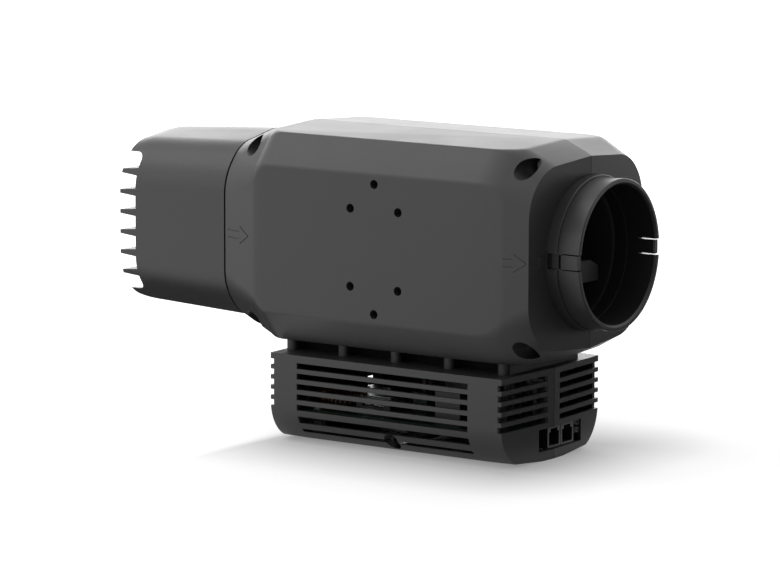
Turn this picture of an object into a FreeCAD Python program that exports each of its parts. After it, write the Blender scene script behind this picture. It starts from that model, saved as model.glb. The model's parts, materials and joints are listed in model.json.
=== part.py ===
"""Inline electric warm-air heater for a camper: a split duct housing with an inlet hood and an outlet spigot,
standing off a louvred control box on a colonnade of posts. Lengths are millimetres, angles are degrees.

Each sub-part is drawn about the duct axis: X runs along the duct and is zero where the outlet face meets the
seam, negative towards the inlet, and Z is zero on the duct axis. A placement then moves every sub-part to the
part's own frame, whose origin is the middle of the outline at the height of the floor."""
import FreeCAD, Part
import math
import os
import re
import Sketcher
from FreeCAD import Placement, Rotation, Vector

SIZES = [
    # Main housing
    ("body_length", 202.0, "housing, outlet face to inlet joint at the seam"),
    ("body_half_width", 58.7, "seam to side panel"),
    ("body_half_height", 58.3, "duct axis to top at the seam"),
    ("body_crown", 2.9, "fall of the top towards the side panel"),
    ("body_corner_height", 39.6, "height of the corner between side panel and long facet"),
    ("body_edge_radius", 3.4, "rounding along the long facets"),
    ("ridge_radius", 40.0, "rounding of the crowned top where the halves meet"),
    ("facet_angle", 49.0, "slope of the long facets"),
    ("housing_wall", 2.5, "shell thickness of the housing"),
    ("end_wall", 4.4, "end walls of the housing at the seam"),
    ("end_draft", 2.5, "each half falls back from the seam by this angle"),
    ("seam_gap", 0.3, "line between the two halves"),
    ("shoulder_corner_height", 35.2, "corner height where the end facets begin"),
    ("shoulder_corner_radius", 15.0, "corner rounding where the end facets begin"),
    ("shoulder_easing", 1.4, "half length of the soft bend at a shoulder"),
    ("outlet_shoulder", 17.0, "length of the outlet end facets"),
    ("outlet_blend", 34.0, "outlet face to where the side panel has its full height"),
    ("outlet_half_width", 56.0, "outlet face at its widest"),
    ("outlet_half_height", 50.6, "outlet face at the seam"),
    ("outlet_crown", 4.3, "fall of the outlet face's top edge"),
    ("outlet_corner_height", 31.4, "corner height on the outlet face"),
    ("outlet_corner_radius", 26.5, "corner rounding on the outlet face"),
    ("inlet_shoulder", 24.0, "length of the inlet end facets"),
    ("inlet_blend", 35.0, "inlet joint to where the side panel has its full height"),
    ("inlet_half_width", 51.2, "inlet joint at its widest"),
    ("inlet_half_height", 52.0, "inlet joint at the seam"),
    ("inlet_crown", 9.5, "fall of the inlet joint's top edge"),
    ("inlet_corner_height", 29.7, "corner height at the inlet joint"),
    ("inlet_corner_radius", 26.0, "corner rounding at the inlet joint"),
    ("fit_gap", 0.1, "room between fixed pieces that fit into each other"),
    ("rib_thickness", 2.5, "ribs that carry the duct"),
    ("rib_place", 45.0, "each end of the housing to its nearest rib"),
    ("rib_offset", -14.0, "middle rib, from halfway between the other two"),
    ("insert_radius", 2.9, "brass inserts"),
    ("insert_length", 9.0, "brass inserts"),
    ("stand_screw_inset", 27.6, "each end of the box to the standoff screws"),
    ("stand_screw_side", 15.0, "seam to the standoff screws"),
    ("stand_boss", 12.0, "bosses for the standoff screws"),
    ("arrow_half_width", 2.0, "duct axis to each line of a flow arrow's shaft"),
    ("arrow_head", 4.6, "half width of a flow arrow's head"),
    ("arrow_point", 7.2, "length of a flow arrow's head"),
    ("arrow_break", 0.6, "shaft of a flow arrow to its head"),
    ("inlet_arrow_shaft", 9.6, "shaft of the arrow beside the inlet"),
    ("outlet_arrow_shaft", 5.2, "shaft of the arrow beside the outlet"),
    ("inlet_arrow_inset", 4.6, "inlet joint to the tail of its arrow"),
    ("outlet_arrow_inset", 3.3, "outlet face to the tip of its arrow"),
    ("arrow_line", 0.5, "width of an engraved line"),
    ("arrow_depth", 0.4, "depth of an engraved line"),
    ("stop_inset", 1.4, "spigot ring to the stop rib on the outlet face"),
    ("stop_width", 4.8, "stop rib"),
    ("stop_half_height", 2.6, "stop rib"),
    ("stop_rise", 0.6, "stop rib above the outlet face"),
    # Screws through the housing and the holes in its side panels
    ("pocket_radius", 5.2, "screw pockets in the corners"),
    ("pocket_drop", 11.1, "top at the seam to pocket centre"),
    ("outlet_pocket", 11.2, "outlet face to pocket centre"),
    ("inlet_pocket", 15.5, "inlet joint to pocket centre"),
    ("pocket_floor", 26.0, "seam to the seat of a screw head"),
    ("screw_radius", 1.95, "housing screws"),
    ("screw_clearance", 0.15, "radial room round a screw"),
    ("screw_head_radius", 3.6, "housing screw heads"),
    ("screw_head_height", 3.0, "housing screw heads and nuts"),
    ("screw_cross_reach", 2.16, "cross in a screw head, middle to the end of an arm"),
    ("screw_cross_half_width", 0.6, "arms of the cross in a screw head"),
    ("panel_hole_centre", 97.0, "outlet face to the middle of the hole pattern"),
    ("panel_hole_radius", 2.4, "holes in the side panels"),
    ("bracket_spacing", 30.4, "shallow holes, along the duct"),
    ("bracket_rise", 41.4, "shallow holes, up the panel"),
    ("bracket_hole_depth", 6.5, "shallow holes"),
    ("hanger_rise", 68.8, "deep holes, up the panel"),
    ("hanger_hole_depth", 12.0, "deep holes"),
    ("boss_wall", 1.8, "wall round a hole or a pocket"),
    # Inlet hood
    ("hood_length", 72.0, "inlet joint to the front of the hood"),
    ("hood_half_width", 48.6, "hood front at its widest"),
    ("hood_half_height", 48.0, "hood at the seam, before the fall to its front"),
    ("hood_brow", 8.0, "front of the hood to the start of the fall"),
    ("hood_fall", 0.9, "fall of the hood's top and bottom at its front"),
    ("hood_crown", 7.6, "fall of the hood front's top edge"),
    ("hood_corner_height", 27.3, "corner height on the hood front"),
    ("hood_corner_radius", 26.0, "corner rounding on the hood front"),
    ("hood_wall", 2.3, "hood shell thickness"),
    ("hood_gap", 1.0, "line between hood and housing"),
    ("slot_depth", 10.9, "front of the hood to the end of its slots"),
    ("slot_fillet", 4.5, "rounded outer corners of the highest and lowest slot"),
    ("blade_pitch", 11.14, "spacing of the inlet blades"),
    ("blade_thickness", 2.14, "inlet blades at their front"),
    ("blade_root", 4.1, "inlet blades at the end of the slots"),
    ("blade_tongue", 7.0, "length of a blade inside the hood walls"),
    ("hood_bulkhead", 2.5, "inner wall of the hood round the duct"),
    ("seal_width", 2.0, "foam rings at the ends of the duct"),
    ("hood_lip", 2.0, "lip that holds the end of the duct"),
    ("neck_radius", 43.0, "neck of the hood inside the housing's end wall"),
    ("neck_flange_radius", 45.5, "flange of the neck behind the end wall"),
    # Outlet spigot
    ("collar_length", 18.0, "outlet face to rim"),
    ("collar_radius", 40.0, "outside of the spigot, for 80 mm duct"),
    ("collar_bore", 36.8, "inside of the spigot"),
    ("collar_step", 0.6, "narrowing of the bore behind the outlet face"),
    ("lip_radius", 41.0, "ring on the housing round the spigot"),
    ("lip_length", 4.9, "outlet face to the front of the ring"),
    ("bead_height", 0.25, "step up to the bead behind the rim"),
    ("rim_chamfer", 0.4, "chamfers of the rim and of the ring"),
    ("bead_start", 14.9, "outlet face to the bead"),
    ("flange_radius", 42.5, "spigot flange behind the end wall"),
    ("flange_depth", 3.0, "spigot flange"),
    ("tab_half_width", 3.7, "snap tab, middle to slit"),
    ("tab_slit", 0.6, "width of a slit beside a snap tab"),
    ("tab_length", 11.0, "length of the slits"),
    ("tab_setback", 1.2, "rim to the end of a tab"),
    ("window_length", 1.3, "window behind a tab"),
    ("window_depth", 2.0, "window behind a tab"),
    ("window_edge", 0.3, "slits to the window behind a tab, and end of a tab to its hook"),
    ("hook_length", 5.5, "hook inside a tab"),
    ("hook_height", 0.8, "hook inside a tab"),
    ("hook_half_width", 2.96, "hook inside a tab"),
    ("notch_half_width", 4.1, "notch in the ring at a tab"),
    ("notch_start", 1.0, "outlet face to the inner end of the notch"),
    ("notch_depth", 0.6, "surface of the spigot to the floor of the notch"),
    ("notch_well", 2.2, "deep end of the notch, along the duct"),
    ("lip_chamfer", 1.1, "chamfer inside the rim"),
    # Duct, fan and heater
    ("duct_radius", 39.0, "outside of the inner duct"),
    ("duct_wall", 2.0, "inner duct"),
    ("fan_inset", 30.0, "inlet joint to the middle of the fan"),
    ("fan_depth", 24.0, "fan frame along the duct"),
    ("fan_ring", 1.3, "thickness of the fan ring"),
    ("fan_play", 0.1, "fan ring and heater frame inside the duct"),
    ("rotor_radius", 34.6, "tips of the fan blades"),
    ("cup_radius", 15.5, "fan hub"),
    ("cup_wall", 1.5, "fan hub"),
    ("rotor_depth", 16.5, "fan hub along the shaft"),
    ("fan_gap", 1.5, "running gap between hub and motor base"),
    ("motor_base", 2.5, "motor base plate"),
    ("shaft_radius", 1.5, "fan shaft"),
    ("shaft_play", 0.03, "radial running clearance of the shaft"),
    ("bearing_radius", 3.4, "bearings"),
    ("bearing_width", 2.6, "bearings"),
    ("stator_radius", 11.4, "motor winding"),
    ("magnet_radius", 12.2, "bore of the magnet ring"),
    ("stator_length", 10.0, "motor winding"),
    ("magnet_length", 12.0, "magnet ring"),
    ("hub_face", 2.0, "closed face of the fan hub"),
    ("tube_wall", 1.2, "bearing tube"),
    ("tube_length", 14.0, "bearing tube beyond the motor base"),
    ("strut_half_width", 1.6, "struts of the fan frame"),
    ("shaft_inset", 0.6, "end of the shaft inside the motor base"),
    ("blade_count", 7.0, "fan blades"),
    ("root_pitch", 42.0, "angle of a fan blade at the hub"),
    ("tip_pitch", 62.0, "angle of a fan blade at its tip"),
    ("root_chord", 13.0, "width of a fan blade at the hub"),
    ("tip_chord", 24.0, "width of a fan blade at its tip"),
    ("blade_skin", 1.3, "thickness of a fan blade"),
    ("blade_camber", 1.5, "bow of a fan blade"),
    ("heater_place", 104.0, "outlet face to the middle of the heater"),
    ("heater_depth", 24.0, "heater along the duct"),
    ("heater_half_width", 25.0, "heater window across"),
    ("element_height", 3.4, "heating elements"),
    ("fin_height", 8.9, "fin packs between the elements"),
    ("fin_pitch", 3.2, "spacing of the heater fins"),
    ("fin_thickness", 0.4, "heater fins"),
    ("heater_plate", 3.0, "end plates of the heater frame"),
    ("terminal_length", 6.0, "heater terminals"),
    ("terminal_radius", 1.12, "heater terminals"),
    ("terminal_offset", 2.0, "heater terminals, from the middle of the heater"),
    ("lead_radius", 1.4, "heater leads"),
    ("lead_side", 3.0, "seam to a heater lead"),
    ("lead_grip", 5.0, "leads inside the terminal block"),
    ("terminal_height", 4.0, "board to the end of the leads"),
    ("terminal_block_length", 9.0, "terminal block"),
    ("terminal_block_width", 16.0, "terminal block"),
    ("cutout_height", 4.0, "overheat cut-out above the duct"),
    ("bracket_front", 4.6, "outlet face to the sensor bracket"),
    ("bracket_depth", 16.0, "sensor bracket along the duct"),
    ("bracket_high", 5.2, "duct axis to the top of the sensor bracket"),
    ("bracket_low", 16.7, "duct axis to the underside of the sensor bracket"),
    ("bracket_reach", 15.0, "seam to the end of the sensor bracket"),
    ("bracket_chamfer", 8.1, "cut corner of the sensor bracket"),
    ("sensor_radius", 1.8, "air sensor"),
    ("sensor_grip", 6.0, "air sensor inside its bracket"),
    ("sensor_length", 7.0, "air sensor beyond its bracket"),
    ("cutout_place", 72.0, "outlet face to the overheat cut-out"),
    ("cutout_radius", 8.0, "overheat cut-out"),
    ("tag_half_width", 2.0, "tags of the overheat cut-out"),
    ("tag_half_thickness", 0.4, "tags of the overheat cut-out"),
    ("tag_height", 5.0, "tags of the overheat cut-out"),
    # Standoff between housing and control box
    ("stand_height", 5.0, "bottom of the housing at the seam to the top of the box"),
    ("stand_front", 6.5, "outlet end of the box to the standoff"),
    ("stand_back", 3.2, "inlet end of the box to the standoff"),
    ("stand_core", 25.0, "half width of the recessed core"),
    ("stand_wall", 3.0, "walls of the standoff"),
    ("post_radius", 3.1, "posts of the colonnade"),
    ("post_inset", 3.75, "each end of the standoff to the nearest posts"),
    ("post_count", 5.0, "posts along each side"),
    ("post_line", 33.4, "seam to the row of posts"),
    ("cable_half_width", 5.0, "cable passage, seam to side"),
    ("cable_length", 34.0, "cable passage along the duct"),
    # Control box
    ("box_outlet", 21.5, "outlet face to the end of the box"),
    ("box_length", 153.2, "box along the duct at the seam"),
    ("box_height", 48.7, "top of the box to the floor"),
    ("box_half_width", 48.3, "box at its widest"),
    ("box_end_half_width", 47.6, "box at its ends"),
    ("box_fold", 19.0, "end of the box to the fold in its side"),
    ("box_draft", 2.9, "each half of the box falls back from the seam by this angle"),
    ("box_curve_radius", 22.8, "rounding of the lower sides"),
    ("box_curve_drop", 26.2, "top of the box to the start of the rounding"),
    ("box_corner", 34.7, "seam to the lower corner"),
    ("box_land", 10.0, "half width of the flat strip that it stands on"),
    ("box_wall", 2.2, "box shell thickness"),
    ("louvre_pitch", 5.65, "spacing of the slots in the sides"),
    ("louvre_height", 3.2, "slots"),
    ("louvre_drop", 4.1, "top of the box to the first side slot"),
    ("louvre_length", 110.0, "side slots"),
    ("louvre_shift", 1.4, "side slots from the middle of the box towards the inlet"),
    ("curved_louvre_drop", 33.3, "top of the box to the slot where the rounding starts"),
    ("curved_louvre_height", 3.8, "slot where the rounding starts"),
    ("lowest_louvre_drop", 40.6, "top of the box to the lowest slot"),
    ("lowest_louvre_height", 1.9, "lowest slot"),
    ("end_louvre_pitch", 5.55, "spacing of the slots in the ends"),
    ("end_louvre_drop", 3.3, "top of the box to the first end slot"),
    ("end_louvre_inset", 5.7, "seam to the end slots"),
    ("box_seam_gap", 0.4, "line between the two halves of the box"),
    ("box_pocket_radius", 4.6, "pocket of the box screw"),
    ("box_pocket_shift", 2.0, "box screw from the middle of the box towards the outlet"),
    ("box_pocket_rise", 7.3, "floor to the box screw"),
    ("box_pocket_floor", 30.0, "seam to the seat of the box screw's head"),
    # Circuit board and what is on it
    ("board_drop", 29.7, "top of the box to the top of the board"),
    ("board_thickness", 1.6, "circuit board"),
    ("board_half_width", 42.0, "circuit board"),
    ("board_gap", 3.0, "board to the end walls at the seam"),
    ("board_clip", 5.0, "cut corners of the board"),
    ("board_screw_inset", 24.0, "ends of the box to the board screws"),
    ("board_screw_side", 33.0, "seam to the board screws"),
    ("board_screw_radius", 1.3, "board screws"),
    ("board_screw_length", 9.0, "board screws"),
    ("board_head_radius", 2.6, "heads of the board screws"),
    ("board_head_height", 1.56, "heads of the board screws"),
    ("box_screw_grip", 12.0, "box screw inside the far half"),
    ("transformer_place", 60.0, "outlet end of the board to the transformer"),
    ("transformer_side", 22.0, "seam to the transformer"),
    ("transformer_length", 26.0, "transformer"),
    ("transformer_width", 18.0, "transformer"),
    ("transformer_height", 19.0, "transformer"),
    ("coil_inset", 2.0, "transformer core above and below its coil"),
    ("core_overhang", 3.0, "transformer core beyond each side of its coil"),
    ("core_length", 15.6, "transformer core"),
    ("relay_place", 22.0, "outlet end of the board to the first relay"),
    ("relay_pitch", 22.0, "spacing of the relays"),
    ("relay_side", -22.0, "seam to the relays"),
    ("relay_length", 16.0, "relays"),
    ("relay_width", 12.0, "relays"),
    ("relay_height", 15.5, "relays"),
    ("capacitor_place", 12.0, "outlet end of the board to the first capacitor"),
    ("capacitor_pitch", 14.5, "spacing of the capacitors"),
    ("capacitor_side", 8.0, "seam to the capacitors"),
    ("capacitor_radius", 5.2, "capacitors"),
    ("capacitor_height", 20.0, "capacitors"),
    ("sink_place", 71.4, "outlet end of the board to the middle of the heat sink"),
    ("sink_side", 38.9, "seam to the middle of the heat sink"),
    ("sink_length", 118.0, "heat sink"),
    ("sink_width", 5.6, "heat sink"),
    ("sink_height", 25.0, "heat sink"),
    ("sink_base", 2.0, "plate of the heat sink"),
    ("sink_fin", 1.6, "fins of the heat sink"),
    ("sink_pitch", 5.82, "spacing of the heat sink's fins"),
    ("choke_place", 118.0, "outlet end of the board to the choke"),
    ("choke_side", -18.0, "seam to the choke"),
    ("choke_radius", 9.0, "choke"),
    ("choke_wire", 4.2, "choke's winding"),
    ("fuse_place", 92.0, "outlet end of the board to the fuse"),
    ("fuse_side", -24.0, "seam to the fuse"),
    ("fuse_length", 14.0, "gap between the fuse clips"),
    ("fuse_radius", 2.6, "fuse"),
    ("fuse_clip", 4.0, "each end block of the fuse holder"),
    ("fuse_cap", 3.0, "each end of the fuse in its clip"),
    ("shield_inset", 1.5, "inlet end of the board to the end shield"),
    ("shield_thickness", 1.2, "end shield"),
    ("shield_half_width", 36.0, "end shield"),
    ("shield_height", 26.0, "board to the top of the end shield"),
    ("shield_foot", 6.0, "each foot of the end shield, along and across the board"),
    ("shield_foot_side", 27.0, "seam to a foot of the end shield"),
    ("port_margin", 0.3, "board to the edge of the port window"),
    ("port_low", 13.7, "seam to the near edge of the port window"),
    ("port_high", 29.0, "seam to the far edge of the port window"),
    ("port_height", 11.9, "port window"),
    ("socket_width", 12.6, "network sockets"),
    ("socket_height", 11.4, "network sockets"),
    ("socket_depth", 15.0, "network sockets"),
    ("socket_pitch", 13.0, "spacing of the network sockets"),
    ("socket_place", 3.6, "seam to the first socket's middle"),
    ("plug_width", 9.8, "socket cavity"),
    ("plug_height", 7.2, "socket cavity"),
    ("plug_depth", 12.0, "socket cavity"),
    ("latch_width", 6.4, "latch slot of a socket"),
    ("socket_floor", 1.2, "walls of a network socket"),
    ("contact_pitch", 1.02, "spacing of the socket contacts"),
    ("contact_half_width", 0.25, "socket contacts"),
    ("light_side", 2.7, "status light"),
    ("light_depth", 5.0, "status light"),
    ("button_place", 26.7, "seam to the button and the light"),
    ("button_drop", 4.4, "top of the light to the button"),
    ("button_side", 2.4, "service button"),
    ("button_depth", 4.0, "service button inside its switch"),
    ("button_play", 0.1, "running clearance round the button"),
    ("button_travel", 0.5, "service button"),
    ("switch_side", 3.8, "switch behind the button"),
    ("switch_depth", 6.0, "switch behind the button"),
]

document = FreeCAD.newDocument("DuctHeater")
sheet = document.addObject("Spreadsheet::Sheet", "Sizes")
for row, (alias, value, meaning) in enumerate(SIZES, start=1):
    sheet.set(f"A{row}", meaning)
    sheet.set(f"B{row}", str(value))
    sheet.setAlias(f"B{row}", alias)
document.recompute()
ALIASES = {alias for alias, value, meaning in SIZES}
SUBPARTS = []

# Places that follow from the driving dimensions
FOLLOWING = {
    "box_drop": "body_half_height + stand_height",
    "pocket_height": "body_half_height - pocket_drop",
    "fan_place": "body_length - fan_inset",
    "stand_outlet": "box_outlet + stand_front",
    "stand_length": "box_length - stand_front - stand_back",
    "stand_screw_place": "box_outlet + stand_screw_inset",
    "stand_screw_spacing": "box_length - 2 * stand_screw_inset",
    "cable_place": "heater_place - terminal_offset",
}


# Shared ways of making and binding objects

def size(alias):
    """A driving dimension read from the sheet."""
    return float(sheet.get(alias))


def written_out(name):
    """A name in a formula as the sheet knows it."""
    if name in FOLLOWING:
        return "(" + re.sub(r"[a-z_]+", lambda word: written_out(word[0]), FOLLOWING[name]) + ")"
    return f"Sizes.{name}" if name in ALIASES else name


def bind(item, prop, text):
    """Bind a property to a formula in which driving dimensions stand by their names."""
    item.setExpression(prop, re.sub(r"[a-z_]+", lambda word: written_out(word[0]), text))


def block(name, across_x, across_y, across_z):
    """A box between a low and a high formula on each axis."""
    solid = document.addObject("Part::Box", name)
    for letter, prop, (low, high) in zip("xyz", ("Length", "Width", "Height"),
                                         (across_x, across_y, across_z)):
        bind(solid, prop, f"({high}) - ({low})")
        bind(solid, f"Placement.Base.{letter}", low)
    return solid


TURN = {
    "x": Rotation(Vector(0, 1, 0), 90),
    "y": Rotation(Vector(1, 0, 0), -90),
    "z": Rotation(),
}


def rod(name, along, radius, start, end, **place):
    """A cylinder along an axis, from one formula to another; place gives its other two coordinates."""
    solid = document.addObject("Part::Cylinder", name)
    solid.Placement = Placement(Vector(), TURN[along])
    bind(solid, "Radius", radius)
    bind(solid, "Height", f"({end}) - ({start})")
    bind(solid, f"Placement.Base.{along}", start)
    for letter, text in place.items():
        bind(solid, f"Placement.Base.{letter}", text)
    return solid


def fuse(name, *solids):
    item = document.addObject("Part::MultiFuse", name)
    item.Shapes = list(solids)
    return item


def cut(name, base, *tools):
    item = document.addObject("Part::Cut", name)
    item.Base = base
    item.Tool = tools[0] if len(tools) == 1 else group(f"{name}_tools", *tools)
    return item


def common(name, *solids):
    item = document.addObject("Part::MultiCommon", name)
    item.Shapes = list(solids)
    return item


def group(name, *solids):
    item = document.addObject("Part::Compound", name)
    item.Links = list(solids)
    return item


def drawn(name, shape):
    """An object that holds a shape drawn from the sheet's sizes."""
    item = document.addObject("Part::Feature", name)
    item.Shape = shape
    return item


def subpart(label, item):
    """Give a finished piece its name and move it from the duct axis to the part's frame."""
    if item.TypeId in ("Part::Box", "Part::Cylinder"):
        item = group(f"{label}_piece", item)
    item.Label = label
    bind(item, "Placement.Base.x", "(body_length + hood_length - collar_length) / 2")
    bind(item, "Placement.Base.z", "box_drop + box_height")
    SUBPARTS.append(item)
    return item


def new_body(name):
    return document.addObject("PartDesign::Body", name)


def sketch_on(body, role, name, offset=None):
    """An empty sketch on one of a body's own planes, moved along the plane's normal by a formula."""
    sketch = body.newObject("Sketcher::SketchObject", name)
    plane = next(item for item in body.Origin.OriginFeatures if item.Role == role)
    sketch.AttachmentSupport = (plane, [""])
    sketch.MapMode = "FlatFace"
    if offset:
        bind(sketch, "AttachmentOffset.Base.z", offset)
    return sketch


def add_outline(sketch, corners):
    """A closed outline whose corners are each held by a pair of formulas."""
    first = sketch.GeometryCount
    count = len(corners)
    for step in range(count):
        start = Vector(step, step * step + 1, 0)
        end = Vector((step + 1) % count, ((step + 1) % count) ** 2 + 1, 0)
        sketch.addGeometry(Part.LineSegment(start, end), False)
    for step in range(count):
        line, following = first + step, first + (step + 1) % count
        sketch.addConstraint(Sketcher.Constraint("Coincident", line, 2, following, 1))
    for step, (across, up) in enumerate(corners):
        for kind, text in (("DistanceX", across), ("DistanceY", up)):
            place = sketch.addConstraint(Sketcher.Constraint(kind, -1, 1, first + step, 1, 1.0 + step))
            bind(sketch, f"Constraints[{place}]", text)


def add_rectangle(sketch, across, up):
    """A rectangle between a low and a high formula each way."""
    add_outline(sketch, [(across[0], up[0]), (across[1], up[0]), (across[1], up[1]), (across[0], up[1])])


def add_circle(sketch, radius, across="0", up="0"):
    """A circle held by its radius and centre."""
    edge = sketch.addGeometry(Part.Circle(Vector(1, 1, 0), Vector(0, 0, 1), 5.0), False)
    turn = sketch.addConstraint(Sketcher.Constraint("Radius", edge, 5.0))
    bind(sketch, f"Constraints[{turn}]", radius)
    for kind, text in (("DistanceX", across), ("DistanceY", up)):
        place = sketch.addConstraint(Sketcher.Constraint(kind, -1, 1, edge, 3, 1.0))
        bind(sketch, f"Constraints[{place}]", text)


def pad(body, sketch, name, length):
    feature = body.newObject("PartDesign::Pad", name)
    feature.Profile = sketch
    bind(feature, "Length", length)
    sketch.Visibility = False
    return feature


def pocket(body, sketch, name, length, both_ways=False, backwards=False):
    """A cut from the sketch against the plane's normal, or along it when it runs backwards."""
    feature = body.newObject("PartDesign::Pocket", name)
    feature.Profile = sketch
    bind(feature, "Length", length)
    if both_ways:
        feature.SideType = "Symmetric"
    feature.Reversed = backwards
    return feature


def revolve(body, sketch, name):
    feature = body.newObject("PartDesign::Revolution", name)
    feature.Profile = sketch
    feature.ReferenceAxis = (sketch, ["H_Axis"])
    feature.Angle = 360.0
    return feature


# Cross sections of the housing and of the hood

def corner(point, before, after, radius):
    """Both tangent points and the middle of the rounding of a corner, given the unit ways in and out."""
    turn = math.acos(max(-1.0, min(1.0, before.dot(after))))
    reach = radius * math.tan(turn / 2)
    start = point - before * reach
    end = point + after * reach
    inward = (after - before).normalize()
    middle = point + inward * (radius / math.cos(turn / 2) - radius)
    return start, middle, end


def half_section(width, height, crown, corner_height, radius):
    """Half of a cross section on the near side of the seam: crowned top, sloping facet, upright side, then
    the same mirrored about the duct axis. The corners' radius is kept within the facet."""
    facet = math.radians(size("facet_angle"))
    crown = math.radians(crown)
    ridge = size("ridge_radius")
    peak = height - ridge + ridge / math.cos(crown)
    down_top = Vector(0, -math.cos(crown), -math.sin(crown))
    down_facet = Vector(0, -math.cos(facet), -math.sin(facet))
    down_side = Vector(0, 0, -1)
    low = Vector(0, -width, corner_height)
    # The upper corner is where the facet's line meets the crowned top
    rise = peak - math.tan(crown) * width - corner_height
    run = rise / (math.sin(facet) - math.tan(crown) * math.cos(facet))
    high = low - down_facet * run
    bend_low = (math.pi / 2 - facet) / 2
    bend_high = (facet - crown) / 2
    radius = min(radius, 0.97 * run / (math.tan(bend_low) + math.tan(bend_high)))
    a, b, c = corner(high, down_top, down_facet, radius)
    d, e, f = corner(low, down_facet, down_side, radius)
    top = Vector(0, 0, height)
    ridge_middle, ridge_end = [
        Vector(0, -ridge * math.sin(turn), height - ridge + ridge * math.cos(turn))
        for turn in (crown / 2, crown)]

    def flip(point):
        return Vector(point.x, point.y, -point.z)

    def arc(start, middle, end):
        return Part.Arc(start, middle, end).toShape()

    def line(start, end):
        return Part.LineSegment(start, end).toShape()

    upper = [arc(top, ridge_middle, ridge_end), line(ridge_end, a), arc(a, b, c), line(c, d), arc(d, e, f)]
    lower = [arc(flip(f), flip(e), flip(d)), line(flip(d), flip(c)), arc(flip(c), flip(b), flip(a))]
    lower += [line(flip(a), flip(ridge_end)), arc(flip(ridge_end), flip(ridge_middle), flip(top))]
    return Part.Wire([*upper, line(f, flip(f)), *lower, line(flip(top), top)])


def place_section(wire, x, turn=0.0):
    """A section moved along the duct and turned about the seam by the draft."""
    wire.Placement = Placement(Vector(x, 0, 0), Rotation(Vector(0, 0, 1), turn))
    return wire


def eased(distance, length, start, end):
    """A size that runs straight from start to end over a length, with a soft bend where it arrives."""
    easing = size("shoulder_easing")
    slope = (end - start) / length
    past = distance - length
    if past <= -easing:
        return start + slope * distance
    if past >= easing:
        return end
    return end - slope * (easing - past) ** 2 / (4 * easing)


def body_section(place, wall):
    """The housing's half section at a distance along the seam from the outlet face, inside of a wall."""
    from_inlet = size("body_length") - place
    side = "outlet" if place < from_inlet else "inlet"
    distance = min(place, from_inlet)
    shoulder, blend = size(f"{side}_shoulder"), size(f"{side}_blend")
    width = eased(distance, shoulder, size(f"{side}_half_width"), size("body_half_width"))
    height = eased(distance, shoulder, size(f"{side}_half_height"), size("body_half_height"))
    crown = eased(distance, shoulder, size(f"{side}_crown"), size("body_crown"))
    if distance < shoulder:
        share = distance / shoulder
        low, high = size(f"{side}_corner_height"), size("shoulder_corner_height")
        start, end = size(f"{side}_corner_radius"), size("shoulder_corner_radius")
        corner_height = low + (high - low) * share
        radius = start + (end - start) * share
    else:
        share = max(0.0, (blend - distance) / (blend - shoulder)) ** 2
        low, high = size("body_corner_height"), size("shoulder_corner_height")
        start, end = size("body_edge_radius"), size("shoulder_corner_radius")
        corner_height = low + (high - low) * share
        radius = start + (end - start) * share
    return inset_section(width, height, crown, corner_height, radius, wall)


def inset_section(width, height, crown, corner_height, radius, wall):
    """A half section moved inwards by a wall's thickness on every side."""
    facet = math.radians(size("facet_angle"))
    drop = wall * (1 - math.sin(facet)) / math.cos(facet)
    return half_section(width - wall, height - wall / math.cos(math.radians(crown)), crown,
                        corner_height - drop, max(radius - wall, 0.8))


def body_stations():
    """Distances from the outlet face at which the housing's section is drawn."""
    easing = size("shoulder_easing")
    length = size("body_length")
    stations = []
    for side in ("outlet", "inlet"):
        shoulder, blend = size(f"{side}_shoulder"), size(f"{side}_blend")
        spots = [0.0, shoulder - easing, shoulder, shoulder + easing]
        spots += [shoulder + (blend - shoulder) * share for share in (0.3, 0.5, 0.7, 0.85, 1.0)]
        stations.append(spots)
    outlet, inlet = stations
    return outlet + [length - spot for spot in reversed(inlet)]


def draft_at(place):
    """How far a section is turned about the seam: fully at the ends, not at all along the side panel."""
    draft = size("end_draft")
    from_inlet = size("body_length") - place
    if place < size("outlet_shoulder"):
        return -draft * (1 - place / size("outlet_shoulder"))
    if from_inlet < size("inlet_blend"):
        return draft * (1 - max(0.0, from_inlet - size("inlet_shoulder")) /
                        (size("inlet_blend") - size("inlet_shoulder")))
    return 0.0


def body_solid(wall=0.0):
    """The near half of the housing as one block with drafted end faces, moved inwards by a wall."""
    wires = [place_section(body_section(spot, wall), -spot, draft_at(spot)) for spot in body_stations()]
    return Part.makeLoft(wires, True, True)


def body_cavity():
    """The hollow inside the near half, between flat end walls and the inside of the shell."""
    wall, end = size("housing_wall"), size("end_wall")
    stations = body_stations()
    inner = [spot for spot in stations if 2 * end < spot < stations[-1] - 2 * end]
    spots = [end, *inner, stations[-1] - end]
    wires = [place_section(body_section(spot, wall), -spot) for spot in spots]
    return Part.makeLoft(wires, True, True)


def hood_section(place, wall):
    """The hood's half section at a distance from its joint; top and bottom fall softly at the front."""
    length = size("hood_length")
    values = {}
    for name in ("half_width", "half_height", "crown", "corner_height", "corner_radius"):
        start, end = size(f"inlet_{name}"), size(f"hood_{name}")
        values[name] = start + (end - start) * place / length
    past = min(1.0, max(0.0, 1 - (length - place) / size("hood_brow")))
    values["half_height"] -= size("hood_fall") * past ** 2
    return inset_section(*values.values(), wall)


def hood_solid(wall=0.0, start=0.0, end=0.0):
    """The hood's near half as a block, shortened at the joint and at the front by two lengths."""
    length, brow = size("hood_length"), size("hood_brow")
    falling = [] if wall else [length - brow, length - brow / 2]
    spots = [start + size("hood_gap"), *falling, length - end]
    first_turn = 0.0 if start else size("end_draft")
    wires = [place_section(hood_section(spot, wall), -size("body_length") - spot,
                           first_turn if spot == spots[0] else 0.0) for spot in spots]
    return Part.makeLoft(wires, True, True)


# Block of the whole housing and of its hollow, used as tools by the pieces that meet it

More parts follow.
